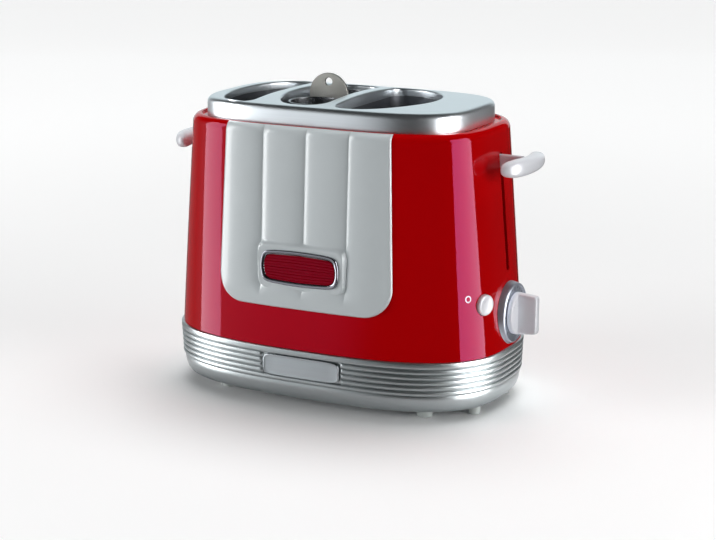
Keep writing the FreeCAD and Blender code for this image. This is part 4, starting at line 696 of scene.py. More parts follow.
class TOASTER_OT_shell(bpy.types.Operator):
    """Build the red outer shell with its slots and holes"""
    bl_idname = "toaster.shell"
    bl_label = "Outer shell"

    SIDE_STEPS = 12
    SHOULDER_STEPS = 10
    LEDGE_DROP = 1.5 * MM
    LEDGE_SHEET = 2.0 * MM
    LEDGE_HOLE = 1.7 * MM
    TROUGH = (5.3 * MM, 1.6 * MM)
    SLOT_HALF = 2.3 * MM
    SLOT_REACH = (0.099, 0.14)
    SLOT_BELOW = 79.5 * MM
    SLOT_ABOVE = 1.5 * MM
    DIAL_HOLE = ((4.0, -12.0), (4.0, 12.0))
    DIAL_HOLE_AT = (6.0 * MM, 65.8 * MM)
    BUTTON_HOLE = ((7.6, -10.0), (7.6, 10.0))

    def execute(self, context):
        shape = context.scene.toaster_shape
        body = Body(shape)
        turns = even_turns(shape.ring_steps)
        rings = []
        for step in range(self.SIDE_STEPS + 1):
            height = body.shell_bottom + (body.shoulder - body.shell_bottom) * step / self.SIDE_STEPS
            rings.append(oval_ring(*body.shell_oval(height), height, turns))
        for step in range(1, self.SHOULDER_STEPS + 1):
            height = body.shoulder + shape.shoulder_height * math.sin(QUARTER * step / self.SHOULDER_STEPS)
            rings.append(oval_ring(*body.outer_oval(min(height, body.rim)), height, turns))
        rim_half = body.outer_oval(body.rim)
        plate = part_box("top_plate")[1]
        ledge = body.rim - self.LEDGE_DROP
        edge = (plate.x + self.TROUGH[0], plate.y + self.TROUGH[1])
        hole = (plate.x - self.LEDGE_HOLE, plate.y - self.LEDGE_HOLE)
        under = ledge - self.LEDGE_SHEET
        profile = [(rim_half[0] - 0.3 * MM, rim_half[1] - 0.2 * MM, shape.rim_power, body.rim),
                   (edge[0] + 0.15 * MM, edge[1] + 0.1 * MM, shape.rim_power, body.rim - 0.1 * MM),
                   (*edge, shape.rim_power, body.rim - 0.35 * MM),
                   (*edge, shape.rim_power, ledge),
                   (*hole, shape.plate_power, ledge),
                   (*hole, shape.plate_power, under),
                   (plate.x + 4.0 * MM, plate.y + 0.2 * MM, shape.rim_power, under)]
        rings += [oval_ring(*row, turns) for row in profile]
        for height in (body.shoulder - 2.0 * MM, (body.shoulder + body.shell_bottom) / 2, body.shell_bottom):
            rings.append(oval_ring(*body.shell_oval(height, -shape.shell_wall), height, turns))
        verts, faces = loft(rings, closed=True)
        piece = make_piece("red_shell", verts, faces, "housing", "red_gloss", ("outer_shell",), 40.0)
        carve(piece, self.cuts(body), 40.0)
        return {"FINISHED"}

    def cuts(self, body):
        """The lever slots, the dial's hole and the stop button's hole."""
        frame_low, frame_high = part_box("carriage_frame")
        middle = (frame_low.y + frame_high.y) / 2
        cuts = []
        for side in (-1, 1):
            low_x, high_x = sorted(side * reach for reach in self.SLOT_REACH)
            cuts.append(block((low_x, middle - self.SLOT_HALF, frame_high.z - self.SLOT_BELOW),
                              (high_x, middle + self.SLOT_HALF, frame_high.z + self.SLOT_ABOVE)))
        cuts.append(lathe(in_mm(self.DIAL_HOLE), (body.end_at(*self.DIAL_HOLE_AT), *self.DIAL_HOLE_AT),
                          (1, 0, 0), 40))
        cuts.append(lathe(in_mm(self.BUTTON_HOLE), *button_seat(body), 72))
        return cuts


class TOASTER_OT_panel(bpy.types.Operator):
    """Build the pale fluted front panel with the pad behind the badge"""
    bl_idname = "toaster.panel"
    bl_label = "Front panel"

    BOTTOM = 71.5 * MM
    TOP_GAP = 0.2 * MM
    CORNER = 20.0 * MM
    HALF = 66.5 * MM
    LEAN = 3.8 * MM
    GROOVES = (-32.0 * MM, 0.8 * MM, 33.0 * MM)
    SEAT = 0.2 * MM
    ROWS = 120
    CLOSEST_ROWS = 0.12 * MM
    # Half width in mm that the closer columns' places are divided by, and those places
    COLUMN_HALF = 64.5
    GROOVE_COLUMNS = (-2.2, -1.6, -1.1, -0.7, -0.35, 0.0, 0.35, 0.7, 1.1, 1.6, 2.2)
    PAD_COLUMNS = (-1.5, -1.0, -0.5, 0.0, 0.5, 1.0, 1.5)
    # The pad behind the badge
    PAD_LOW, PAD_HIGH = 85.5 * MM, 115.5 * MM
    PAD_HALF = 26.5 * MM
    PAD_ROUND = 6.0 * MM

    def execute(self, context):
        self.body = Body(context.scene.toaster_shape)
        self.top = self.body.rim - self.TOP_GAP
        self.pad_face = -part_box("badge_frame")[1].y
        columns = self.columns()
        front, back = [], []
        for height in self.rows():
            half = self.half_width(height)
            for column in columns:
                across = column * half
                shell = self.body.front_at(across, height)
                front.append((across, -(shell + self.proud(across, height, half, shell)), height))
                back.append((across, -(shell + self.SEAT), height))
        verts, faces = slab(front, back, len(columns))
        make_piece("fluted_panel", verts, faces, "housing", "pale_gloss", ("front_panel",), 60.0)
        return {"FINISHED"}

    def columns(self):
        """Shares of the half width, closer together at the edges, the grooves and the pad's sides."""
        columns = [step / 130 * 2.0 - 1.0 for step in range(131)]
        for edge in (-1.0, 1.0):
            columns += [edge * (1.0 - step * 0.25 / 65.0) for step in range(1, 9)]
        for groove in self.GROOVES:
            columns += [(groove / MM + shift) / self.COLUMN_HALF for shift in self.GROOVE_COLUMNS]
        for edge in (-34.0, 34.0):
            columns += [(edge + shift) / self.COLUMN_HALF for shift in self.PAD_COLUMNS]
        return sorted(set(round(column, 5) for column in columns))

    def rows(self):
        """Heights from bottom to top, closer together at both edges and along the corners."""
        low, high = self.BOTTOM, self.top
        heights = [low + (high - low) * step / self.ROWS for step in range(self.ROWS + 1)]
        for place, reach, steps in ((low, 4.0 * MM, 14), (high, 2.5 * MM, 10), (low + 10 * MM, 10 * MM, 16)):
            for step in range(1, steps):
                for way in (-1, 1):
                    height = place + way * reach * step / steps
                    if low < height < high:
                        heights.append(height)
        heights.sort()
        kept = [heights[0]]
        for height in heights[1:]:
            if height - kept[-1] > self.CLOSEST_ROWS:
                kept.append(height)
        return kept

    def half_width(self, height):
        rise = height - self.BOTTOM - self.CORNER
        if rise < 0.0:
            return self.HALF - self.CORNER + math.sqrt(max(self.CORNER * self.CORNER - rise * rise, 0.0))
        return self.HALF - self.LEAN * rise / (self.top - self.BOTTOM - self.CORNER)

    def edge_gap(self, across, height, half):
        """Distance to the panel's outline."""
        centre = self.HALF - self.CORNER
        rise = height - self.BOTTOM - self.CORNER
        if rise < 0.0 and abs(across) > centre:
            return self.CORNER - math.hypot(abs(across) - centre, rise)
        return min(half - abs(across), height - self.BOTTOM)

    def proud(self, across, height, half, shell):
        """How far the panel's face stands out from the shell."""
        shape = self.body.shape
        edges = (-half,) + self.GROOVES + (half,)
        drop = 0.0
        for left, right in zip(edges, edges[1:]):
            if left <= across <= right:
                share = 2.0 * (across - left) / (right - left) - 1.0
                drop = share * share * 0.66 + share ** 6 * 0.34
        fade = smoothstep(self.BOTTOM + 6.0 * MM, self.BOTTOM + 17.0 * MM, height)
        outer = smoothstep(self.GROOVES[0], -half, across) + smoothstep(self.GROOVES[2], half, across)
        level = shape.panel_proud - shape.flute_depth * drop * fade * (1.0 - 0.35 * outer)
        crown = smoothstep(self.top - 9.0 * MM, self.top, height)
        level -= 0.5 * MM * crown * crown * min(abs(drop), 1.0)
        top_gap = (self.top - height) / (1.4 * MM)
        if top_gap < 1.0:
            level *= 0.55 + 0.45 * round_off(top_gap)
        gap = self.edge_gap(across, height, half) / (1.7 * MM)
        if gap < 1.0:
            level = self.SEAT + (level - self.SEAT) * round_off(max(gap, 0.0))
        side = max(abs(across) - self.PAD_HALF, 0.0)
        rise = max(self.PAD_LOW + self.PAD_ROUND - height, height - self.PAD_HIGH + self.PAD_ROUND, 0.0)
        beyond = math.hypot(side, rise) - self.PAD_ROUND
        if beyond < self.PAD_ROUND:
            flat = self.pad_face - shell
            pad = flat - max(beyond, 0.0) * 2.0
            level = min(smooth_max(level, pad, 0.7 * MM), max(level, flat))
        return level


class TOASTER_OT_badge(bpy.types.Operator):
    """Build the badge's plated frame and its bare ribbed insert"""
    bl_idname = "toaster.badge"
    bl_label = "Badge"

    # Inset from the outline and height above the seat, in mm, across the frame's rolled section
    FRAME = ((0.0, 0.0), (0.0, 1.0), (0.2, 1.4), (0.6, 1.65), (1.1, 1.7), (1.8, 1.5), (2.4, 1.1), (2.75, 0.7),
             (2.85, 0.0))
    POWER = 11.0
    SIDE_SWELL = 0.083
    TOP_SWELL = 0.12
    INSERT_GAP = 2.95 * MM
    ROWS, COLUMNS = 132, 24
    RIB_PITCH = 2.05 * MM
    RIB_FOOT, RIB_RISE = 0.5 * MM, 0.6 * MM

    def execute(self, context):
        low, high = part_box("badge_frame")
        seat = high.y
        middle = (low.z + high.z) / 2
        half_height = (high.z - low.z) / 2 + 1.0 * MM
        rings = [self.barrel(high.x - inset * MM, half_height - inset * MM, seat - proud * MM, middle)
                 for inset, proud in self.FRAME]
        verts, faces = loft(rings, closed=True)
        make_piece("badge_ring", verts, faces, "housing", "chrome_trim", ("badge_frame",), 50.0)
        self.insert(high.x - self.INSERT_GAP, half_height - self.INSERT_GAP, seat, middle)
        return {"FINISHED"}

    def barrel(self, width, height, depth, middle):
        """A rounded rectangle whose sides swell."""
        ring = []
        for across, up in oval_points(self.POWER, even_turns(240)):
            z = height * up
            x = width * across * (1.0 - self.SIDE_SWELL * (z / height) ** 2)
            ring.append((x, depth, middle + z * (1.0 - self.TOP_SWELL * (x / width) ** 2)))
        return ring

    def insert(self, width, height, seat, middle):
        """The insert inside the frame, with fine level ribs."""
        front = []
        for row in range(self.ROWS + 1):
            z = height * (2.0 * row / self.ROWS - 1.0)
            half = oval_depth(height, width, self.POWER, z) * (1.0 - self.SIDE_SWELL * (z / height) ** 2)
            proud = self.RIB_FOOT + self.RIB_RISE * math.sqrt(abs(math.sin(math.pi * z / self.RIB_PITCH)))
            for column in range(self.COLUMNS + 1):
                x = half * (2.0 * column / self.COLUMNS - 1.0)
                front.append((x, seat - proud, middle + z * (1.0 - self.TOP_SWELL * (x / width) ** 2)))
        back = [(x, seat - 0.05 * MM, z) for x, _, z in front]
        verts, faces = slab(front, back, self.COLUMNS + 1, back_faces=False)
        make_piece("badge_inlay", verts, faces, "housing", "red_insert", ("badge_insert",), 60.0)


class TOASTER_OT_top(bpy.types.Operator):
    """Build the domed top plate with rolled edges round its three wells"""
    bl_idname = "toaster.top"
    bl_label = "Top plate"

    RIM_STEPS = 280
    PITCH = 3.0 * MM
    ROWS, COLUMNS = 18, 32
    RIM_GUARD = 1.5 * MM
    WELL_GUARD = 1.2 * MM
    EDGE_STEPS = 8
    ROLL_STEPS = 6
    COLLAR = 5.0 * MM
    SHEET = 0.9 * MM
    WELD = 0.02 * MM

    def execute(self, context):
        self.shape = context.scene.toaster_shape
        low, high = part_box("top_plate")
        self.flat = (high.x - self.shape.plate_edge, high.y - self.shape.plate_edge)
        self.edge = high.z - self.shape.plate_crown
        parts = [self.face(), self.border(low, high)]
        parts += [self.collar(well) for well in WELLS.values()]
        verts, faces = joined(parts)
        piece = make_piece("steel_top", verts, faces, "housing", "brushed_plate", ("top_plate",), 60.0)
        face_outward(piece.data, self.WELD)
        thicken(piece, self.SHEET)
        bake(piece, 60.0)
        return {"FINISHED"}

    def dome(self, x, y):
        power = self.shape.plate_power
        share = (abs(x / self.flat[0]) ** power + abs(y / self.flat[1]) ** power) ** (1.0 / power)
        return self.edge + self.shape.plate_crown * (1.0 - min(share, 1.0) ** 2)

    def outline(self, inset):
        turns = even_turns(self.RIM_STEPS)
        ring = oval_ring(self.flat[0] - inset, self.flat[1] - inset, self.shape.plate_power, 0.0, turns)
        return [(x, y) for x, y, _ in ring]

    def face(self):
        """The domed face between the border and the wells."""
        roll = self.shape.collar_roll
        inner = self.outline(self.RIM_GUARD)
        guards = [well_outline(well, roll + self.WELL_GUARD) for well in WELLS.values()]
        grid = []
        for row in range(-self.ROWS, self.ROWS + 1):
            for column in range(-self.COLUMNS, self.COLUMNS + 1):
                point = (column * self.PITCH + (row % 2) * self.PITCH / 2, row * self.PITCH)
                if inside(point, inner) and not any(inside(point, guard) for guard in guards):
                    grid.append(point)
        found, faces = fill(self.outline(0.0), [well_outline(well, roll) for well in WELLS.values()], grid)
        return [(point.x, point.y, self.dome(point.x, point.y)) for point in found], faces

    def border(self, low, high):
        """The rounded edge and the upright band under it."""
        radius, power = self.shape.plate_edge, self.shape.plate_power
        turns = even_turns(self.RIM_STEPS)
        rings = [[(x, y, self.dome(x, y)) for x, y in self.outline(0.0)]]
        for step in range(1, self.EDGE_STEPS + 1):
            turn = QUARTER * step / self.EDGE_STEPS
            grow = radius * math.sin(turn)
            height = self.edge - radius * (1.0 - math.cos(turn))
            rings.append(oval_ring(self.flat[0] + grow, self.flat[1] + grow, power, height, turns))
        for height in (low.z + 5.0 * MM, low.z):
            rings.append(oval_ring(high.x, high.y, power, height, turns))
        return loft(rings)

    def collar(self, well):
        """The rolled edge of a well and the sheet folded down from it."""
        roll = self.shape.collar_roll
        start = well_outline(well, roll)
        rings = []
        for step in range(self.ROLL_STEPS + 1):
            turn = QUARTER * step / self.ROLL_STEPS
            outline = well_outline(well, roll * (1.0 - math.sin(turn)))
            rings.append([(x, y, self.dome(start_x, start_y) - roll * (1.0 - math.cos(turn)))
                          for (x, y), (start_x, start_y) in zip(outline, start)])
        rings.append([(x, y, self.edge - self.COLLAR) for x, y in well_outline(well, 0.0)])
        return loft(rings)


class TOASTER_OT_levers(bpy.types.Operator):
    """Build the two rounded levers"""
    bl_idname = "toaster.levers"
    bl_label = "Levers"

    STEPS = 60
    FRONT_REACH, BACK_REACH = 7.0 * MM, 8.0 * MM
    DROP = 1.0 * MM
    HALF_THICK = 6.0 * MM
    HALF_TALL, TALL_TAPER = 5.6 * MM, 0.6 * MM
    BOW = 6.5 * MM
    END_POWER = 7.0
    NECK_FROM, NECK_TO = 10.0 * MM, 28.0 * MM
    # Half thickness and half height of the neck and of the bore in it
    NECK, BORE = (1.75 * MM, 4.6 * MM), (1.25 * MM, 4.15 * MM)
    STEM_DEPTH = 8.0 * MM
    STEM_GAP = 0.2 * MM

    def execute(self, context):
        stem_low, stem_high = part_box("carriage_frame")
        for node, side in (("lever_left", -1), ("lever_right", 1)):
            low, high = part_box(node)
            outer = max(abs(low.x), abs(high.x))
            front, back = low.y - self.FRONT_REACH, high.y + self.BACK_REACH
            height = (low.z + high.z) / 2 - self.DROP
            rings = []
            for step in range(1, self.STEPS):
                share = -math.cos(math.pi * step / self.STEPS)
                along = (front + back) / 2 + (back - front) / 2 * share
                swell = max(1.0 - abs(share) ** self.END_POWER, 0.0) ** 0.5
                tall = self.HALF_TALL - self.TALL_TAPER * share
                across = outer - self.HALF_THICK - self.BOW * share * share
                rings.append([(side * (across + self.HALF_THICK * swell * x), along,
                               height + tall * swell * z) for x, z in self.section()])
            verts, faces = loft(rings, cap_first=True, cap_last=True)
            piece = make_piece(node + "_grip", verts, faces, "carriage", "white_gloss", (node,), 60.0)
            self.neck(node, side, outer, stem_low, stem_high)
            low_x, high_x = sorted((side * (outer - 20.0 * MM), side * (abs(stem_low.x) + self.STEM_GAP)))
            carve(piece, [block((low_x, stem_low.y - self.STEM_GAP,
                                 stem_high.z - self.STEM_DEPTH - self.STEM_GAP),
                                (high_x, stem_high.y + self.STEM_GAP, stem_high.z + self.STEM_GAP))], 60.0)
        return {"FINISHED"}

    def neck(self, node, side, outer, stem_low, stem_high):
        """The sleeve that covers the stem where it leaves the shell."""
        middle_y = (stem_low.y + stem_high.y) / 2
        middle_z = stem_high.z - self.STEM_DEPTH / 2
        rings = []
        for (half_y, half_z), ends in ((self.NECK, (self.NECK_TO, self.NECK_FROM)),
                                       (self.BORE, (self.NECK_FROM, self.NECK_TO))):
            for end in ends:
                rings.append([(side * (outer - end), middle_y + half_y * y, middle_z + half_z * z)
                              for y, z in self.section()])
        verts, faces = loft(rings, closed=True)
        make_piece(node + "_neck", verts, faces, "carriage", "white_gloss", (), 50.0)

    def section(self):
        """A rounded square that the lever has all along."""
        return oval_points(2.6, even_turns(48))


class TOASTER_OT_dial(bpy.types.Operator):
    """Build the dial bezel with its marks, the browning knob and the stop button"""
    bl_idname = "toaster.dial"
    bl_label = "Dial and button"

    STEPS = 144
    # Radius and place along the axis from the bezel's front, in mm, from the bore over the dish to the flank
    BEZEL = ((4.2, -8.0), (4.2, -1.2), (12.0, -1.25), (18.6, -1.2), (19.1, -1.05), (19.35, -0.7),
             (19.5, -0.15), (19.8, 0.0), (20.15, -0.05), (20.5, -0.3), (20.9, -1.0), (21.2, -2.2))
    FLARE = 0.75
    BACK_RADIUS = 18.5 * MM
    TICKS, FIRST_TICK, TICK_TURN = 19, 225.0, 15.0
    # Inner radius and half width of the long and the short ticks, in mm
    LONG_TICK, SHORT_TICK = (15.6, 0.32), (16.8, 0.2)
    TICK_OUTER = 18.2
    TICK_FLOOR, TICK_TOP = -1.26, -1.12
    BORE = 3.05 * MM
    KNOB_BASE = 3.6 * MM
    # Share of the grip's length and how far its end is drawn in
    GRIP = ((0.0, 0.0), (0.25, 0.0), (0.5, 0.02), (0.72, 0.06), (0.86, 0.14), (0.93, 0.25), (0.97, 0.42),
            (0.99, 0.65), (1.0, 1.0))
    BUTTON = ((8.7, -5.0), (8.7, -3.9), (7.15, -3.8), (7.2, 1.0), (7.1, 1.6), (6.8, 2.05), (6.3, 2.3),
              (5.6, 2.36), (4.8, 2.2), (3.0, 2.0), (1.0, 1.95))
    RING = ((2.5, -0.02), (2.45, 0.06), (1.65, 0.06), (1.6, -0.02))
    RING_AT = (-42.8 * MM, 85.0 * MM)
    RING_NARROW = 0.78

    def execute(self, context):
        body = Body(context.scene.toaster_shape)
        low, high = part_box("dial_bezel")
        self.centre = ((low.y + high.y) / 2, (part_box("knob_shaft")[0].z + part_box("knob_shaft")[1].z) / 2)
        self.face = high.x
        self.bezel(body)
        self.marks()
        self.knob()
        self.button(body)
        return {"FINISHED"}

    def circle(self, radius):
        y, z = self.centre
        return [(y + radius * math.cos(turn), z + radius * math.sin(turn)) for turn in even_turns(self.STEPS)]

    def bezel(self, body):
        """A flared ring whose back follows the shell."""
        rings = [[(self.face + along * MM, y, z) for y, z in self.circle(radius * MM)]
                 for radius, along in self.BEZEL]
        last_radius, last_along = self.BEZEL[-1]
        start = self.face + last_along * MM
        for share in (0.4, 0.8, 1.0):
            ring = []
            for y, z in self.circle((last_radius + self.FLARE * share) * MM):
                seat = min(body.end_at(y, z) + 0.25 * MM, start - 0.1 * MM)
                ring.append((start + (seat - start) * share, y, z))
            rings.append(ring)
        rings.append([(min(body.end_at(y, z) + 0.3 * MM, start - 0.2 * MM), y, z)
                      for y, z in self.circle(self.BACK_RADIUS)])
        verts, faces = loft(rings, closed=True)
        make_piece("dial_ring", verts, faces, "housing", "bezel_silver", ("dial_bezel",), 40.0)

    def marks(self):
        """Short raised ticks round the dish, longer at every third."""
        parts = []
        for tick in range(self.TICKS):
            turn = math.radians(self.FIRST_TICK - self.TICK_TURN * tick)
            inner, width = self.SHORT_TICK if tick % 3 else self.LONG_TICK
            way = Vector((0.0, math.cos(turn), math.sin(turn)))
            side = Vector((0.0, -math.sin(turn), math.cos(turn)))
            corners = []
            for along in (self.TICK_FLOOR, self.TICK_TOP):
                middle = Vector((self.face + along * MM, *self.centre))
                for reach, over in ((inner, -width), (inner, width), (self.TICK_OUTER, width),
                                    (self.TICK_OUTER, -width)):
                    corners.append(tuple(middle + way * reach * MM + side * over * MM))
            parts.append((corners, [(0, 1, 2, 3), (7, 6, 5, 4), (0, 4, 5, 1), (1, 5, 6, 2), (2, 6, 7, 3),
                                    (3, 7, 4, 0)]))
        verts, faces = joined(parts)
        make_piece("dial_marks", verts, faces, "housing", "black_plastic")

    def knob(self):
        """A round base with a scooped grip across it."""
        y, z = self.centre
        low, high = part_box("browning_knob")
        radius = (high.z - low.z) / 2
        grip_start = low.x + self.KNOB_BASE - 0.4 * MM
        profile = [(self.BORE, 0.0), (radius - 0.3 * MM, 0.0), (radius, 0.3 * MM), (radius, 2.7 * MM),
                   (radius - 0.25 * MM, 3.3 * MM), (radius - 0.8 * MM, 3.6 * MM), (6.0 * MM, 3.75 * MM),
                   (self.BORE, 3.75 * MM)]
        base = lathe(profile, (low.x, y, z), (1, 0, 0), 120, closed=True)
        rings = []
        for along, shrink in self.GRIP:
            x = grip_start + (high.x - grip_start) * along
            half_z = radius - (0.15 + 1.5 * shrink + 0.9 * along) * MM
            ring = []
            for across, rise in oval_points(5.0, even_turns(120)):
                half_y = (4.3 - 0.9 * (1.0 - rise * rise) - 1.3 * shrink) * MM
                ring.append((x, y + half_y * across, z + half_z * rise))
            rings.append(ring)
        grip = loft(rings, cap_first=True, cap_last=True)
        verts, faces = joined([base, grip])
        make_piece("knob_grip", verts, faces, "dial", "white_gloss", ("browning_knob",), 50.0)

    def button(self, body):
        """A round button with a soft edge, and the small ring printed beside it."""
        verts, faces = lathe(in_mm(self.BUTTON), *button_seat(body))
        make_piece("stop_cap", verts, faces, "button", "white_gloss", ("stop_button",), 50.0)
        along, height = self.RING_AT
        out = Vector((0.75, -0.66, 0.0))
        rings = []
        for radius, proud in self.RING:
            ring = []
            for turn in even_turns(40):
                here_y = along + radius * MM * math.cos(turn) * self.RING_NARROW
                here_z = height + radius * MM * math.sin(turn)
                ring.append(tuple(Vector((body.end_at(here_y, here_z), here_y, here_z)) + out * proud * MM))
            rings.append(ring)
        verts, faces = loft(rings, closed=True)
        make_piece("stop_ring", verts, faces, "housing", "white_gloss")


class TOASTER_OT_basket(bpy.types.Operator):
    """Build the handle of the sausage basket and the rolled rims of its tubes"""
    bl_idname = "toaster.basket"
    bl_label = "Basket"

    STEM_HALF = 5.0 * MM
    SHOULDER = 203.0 * MM
    # Inset from the side and rise of the shoulder's rounded corner, in mm
    CORNER = ((1.5, 0.0), (0.4, 0.4), (0.0, 1.5))
    HOLE_RADIUS, HOLE_DROP = 2.9 * MM, 6.2 * MM
    SOFT_EDGE = 0.25 * MM
    BEAD_IN, BEAD_DROP = 0.75 * MM, 0.55 * MM
    BEAD_HALF_WIDTH, BEAD_HALF_HEIGHT = 0.6 * MM, 0.5 * MM

    def execute(self, context):
        self.tab()
        self.beads()
        return {"FINISHED"}

    def tab(self):
        """The handle: a round head with a finger hole on a narrower stem."""
        low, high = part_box("basket_handle")
        x = (low.x + high.x) / 2
        half = (high.x - low.x) / 2
        outline = [(x - self.STEM_HALF, low.z), (x + self.STEM_HALF, low.z),
                   (x + self.STEM_HALF, self.SHOULDER)]
        corner = [(half - inset, self.SHOULDER + rise) for inset, rise in in_mm(self.CORNER)]
        outline += [(x + across, height) for across, height in corner]
        for turn in even_turns(96)[:49]:
            outline.append((x + half * math.cos(turn), high.z - half + half * math.sin(turn)))
        outline += [(x - across, height) for across, height in reversed(corner)]
        outline.append((x - self.STEM_HALF, self.SHOULDER))
        hole = [(x + self.HOLE_RADIUS * math.cos(turn),
                 high.z - self.HOLE_DROP + self.HOLE_RADIUS * math.sin(turn)) for turn in even_turns(40)]
        found, faces = fill(outline, [hole])
        verts = [(point.x, low.y, point.y) for point in found]
        piece = make_piece("basket_tab", verts, faces, "basket", "handle_steel", ("basket_handle",), 30.0)
        if any(face.normal.y > 0 for face in piece.data.polygons):
            piece.data.flip_normals()
        thicken(piece, high.y - low.y)
        soft = piece.modifiers.new("soft", "BEVEL")
        soft.width = self.SOFT_EDGE
        soft.segments = 1
        soft.limit_method = "ANGLE"
        soft.angle_limit = math.radians(50.0)
        bake(piece, 30.0)

    def beads(self):
        """The rolled rims of the two tubes."""
        parts = []
        for node in ("basket_tube_front", "basket_tube_rear"):
            low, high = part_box(node)
            centre = ((low.x + high.x) / 2, (low.y + high.y) / 2, high.z - self.BEAD_DROP)
            radius = (high.x - low.x) / 2 - self.BEAD_IN
            bead = [(radius + self.BEAD_HALF_WIDTH * math.cos(turn), self.BEAD_HALF_HEIGHT * math.sin(turn))
                    for turn in even_turns(12)]
            parts.append(lathe(bead, centre, (0, 0, 1), closed=True))
        verts, faces = joined(parts)
        make_piece("tube_beads", verts, faces, "basket", "basket_steel")


class TOASTER_OT_finishes(bpy.types.Operator):
    """Give every CAD piece that stays in view its own finish"""
    bl_idname = "toaster.finishes"
    bl_label = "Finishes"

    def execute(self, context):
        for subpart in frame["record"]["subparts"]:
            node = frame["nodes"][subpart["node"]]
            node.data.materials.clear()
            node.data.materials.append(slot_material(subpart["material_slot"]))
        return {"FINISHED"}


class TOASTER_OT_stage(bpy.types.Operator):
    """Set up the floor, the backdrop, the lights and the camera"""
    bl_idname = "toaster.stage"
    bl_label = "Stage"

    FLOOR_TONE, FAR_GLOW, BOUNCE = 0.95, 0.16, 0.55
    FAR_SPAN = (0.2, 1.3)
    NEAR_FLOOR, NEAR_POWER = (0.2, 0.15), 2.2
    FAR_FLOOR = 9.0
    BACKDROP_TONE, BACKDROP_GLOW = 0.02, 0.9
    BACKDROP_COLOUR = (0.86, 0.97, 1.0, 1.0)
    BACKDROP_AWAY, BACKDROP_HALF, BACKDROP_HEIGHTS = 1.9, 1.3, (-0.01, 2.2)
    ROOM_COLOUR = (0.95, 0.98, 1.0, 1.0)
    OVERHEAD = 0.1
    HORIZON = (0.05, 0.45)
    # Which way the room's bright patch lies in degrees, its span in cosines and its brightness
    BRIGHT = (-140.0, (0.72, 1.0), 3.2)
    # The same for its dark patches, with what is left of the light there
    DARK = ((-60.0, (0.55, 0.85), 0.15), (75.0, (0.3, 0.8), 0.12))
    SUN_SPREAD = 39.0
    SUNS = (("key_left", (-0.2, 0.34, 1.0)), ("key_right", (0.18, 0.34, 1.0)))
    # Name, place, target, size and the setting that holds the power
    FILLS = (("fill_front", (-1.9, -1.65, 0.5), (0.0, 0.0, 0.1), (1.2, 1.2), "fill_power"),
             ("fill_side", (1.9, -0.25, 0.4), (0.1, 0.0, 0.1), (1.0, 1.0), "side_power"))
    # Name, place, target, size and share of the strips' radiance
    STRIPS = (("strip_left", (-0.352, -0.19, 0.16), (-0.08, -0.063, 0.16), (0.13, 0.5), 0.62),
              ("strip_right", (0.405, -0.03, 0.16), (0.107, -0.03, 0.16), (0.28, 0.5), 1.0))

    def execute(self, context):
        studio = context.scene.toaster_studio
        self.floor()
        self.backdrop()
        self.world(context, studio.surround)
        self.lights(studio)
        self.camera(context, studio)
        return {"FINISHED"}

    def paint(self, name, colour):
        """A dull material, and what its colour and its shader are linked through."""
        material, nodes, links, shader = node_material(name)
        grain = nodes.new("ShaderNodeTexNoise")
        grain.inputs["Scale"].default_value = 40.0
        tone = node_range(nodes, links, grain.outputs["Fac"], (colour * 0.995, colour * 1.005))
        links.new(tone, shader.inputs["Base Color"])
        shader.inputs["Roughness"].default_value = 0.9
        shader.inputs["Specular IOR Level"].default_value = 0.1
        return material, nodes, links, shader, tone

    def floor_paint(self):
        """Pale, greyer for bounced light, and fading to white away from the toaster."""
        material, nodes, links, shader, tone = self.paint("floor_pale", self.FLOOR_TONE)
        path = nodes.new("ShaderNodeLightPath")
        seen = node_math(nodes, links, "ADD", path.outputs["Is Camera Ray"], path.outputs["Is Glossy Ray"])
        seen = node_math(nodes, links, "ADD", seen, path.outputs["Is Transmission Ray"])
        dim = node_range(nodes, links, seen, (self.BOUNCE, 1.0), way="SMOOTHSTEP")
        links.new(node_math(nodes, links, "MULTIPLY", tone, dim), shader.inputs["Base Color"])
        place = nodes.new("ShaderNodeTexCoord")
        away = nodes.new("ShaderNodeVectorMath")
        away.operation = "LENGTH"
        links.new(place.outputs["Object"], away.inputs[0])
        fade = node_range(nodes, links, away.outputs["Value"], (0.0, self.FAR_GLOW), self.FAR_SPAN,
                          "SMOOTHSTEP")
        links.new(node_math(nodes, links, "MULTIPLY", fade, seen), shader.inputs["Emission Strength"])
        shader.inputs["Emission Color"].default_value = (1.0, 1.0, 1.0, 1.0)
        return material

    def stage_mesh(self, name, verts, faces, material):
        piece = new_object(name, verts, faces)
        piece.data.materials.append(material)
        return piece

    def floor(self):
        """A pale floor; only the part near the toaster shows in its gloss."""
        pale = self.floor_paint()
        turns = even_turns(96)
        edge = oval_ring(*self.NEAR_FLOOR, self.NEAR_POWER, 0.0, turns)
        faces = [(0, step + 1, (step + 1) % 96 + 1) for step in range(96)]
        self.stage_mesh("near_floor", [(0.0, 0.0, 0.0)] + edge, faces, pale)
        verts, faces = loft([edge, oval_ring(self.FAR_FLOOR, self.FAR_FLOOR, 2.0, 0.0, turns)])
        far = self.stage_mesh("far_floor", verts, faces, pale)
        far.visible_glossy = False

    def backdrop(self):
        """A bright sheet far behind the toaster, which only its gloss sees."""
        glow, _, _, shader, _ = self.paint("backdrop_white", self.BACKDROP_TONE)
        shader.inputs["Emission Color"].default_value = self.BACKDROP_COLOUR
        shader.inputs["Emission Strength"].default_value = self.BACKDROP_GLOW
        away = Vector((-0.4554, 0.8903, 0.0))
        side = Vector((0.8903, 0.4554, 0.0))
        verts = []
        for across in (-self.BACKDROP_HALF, self.BACKDROP_HALF):
            for height in self.BACKDROP_HEIGHTS:
                verts.append(tuple(away * self.BACKDROP_AWAY + side * across + Vector((0, 0, height))))
        sheet = self.stage_mesh("backdrop", verts, [(0, 2, 3, 1)], glow)
        sheet.visible_camera = False
        sheet.visible_diffuse = False
        sheet.visible_shadow = False

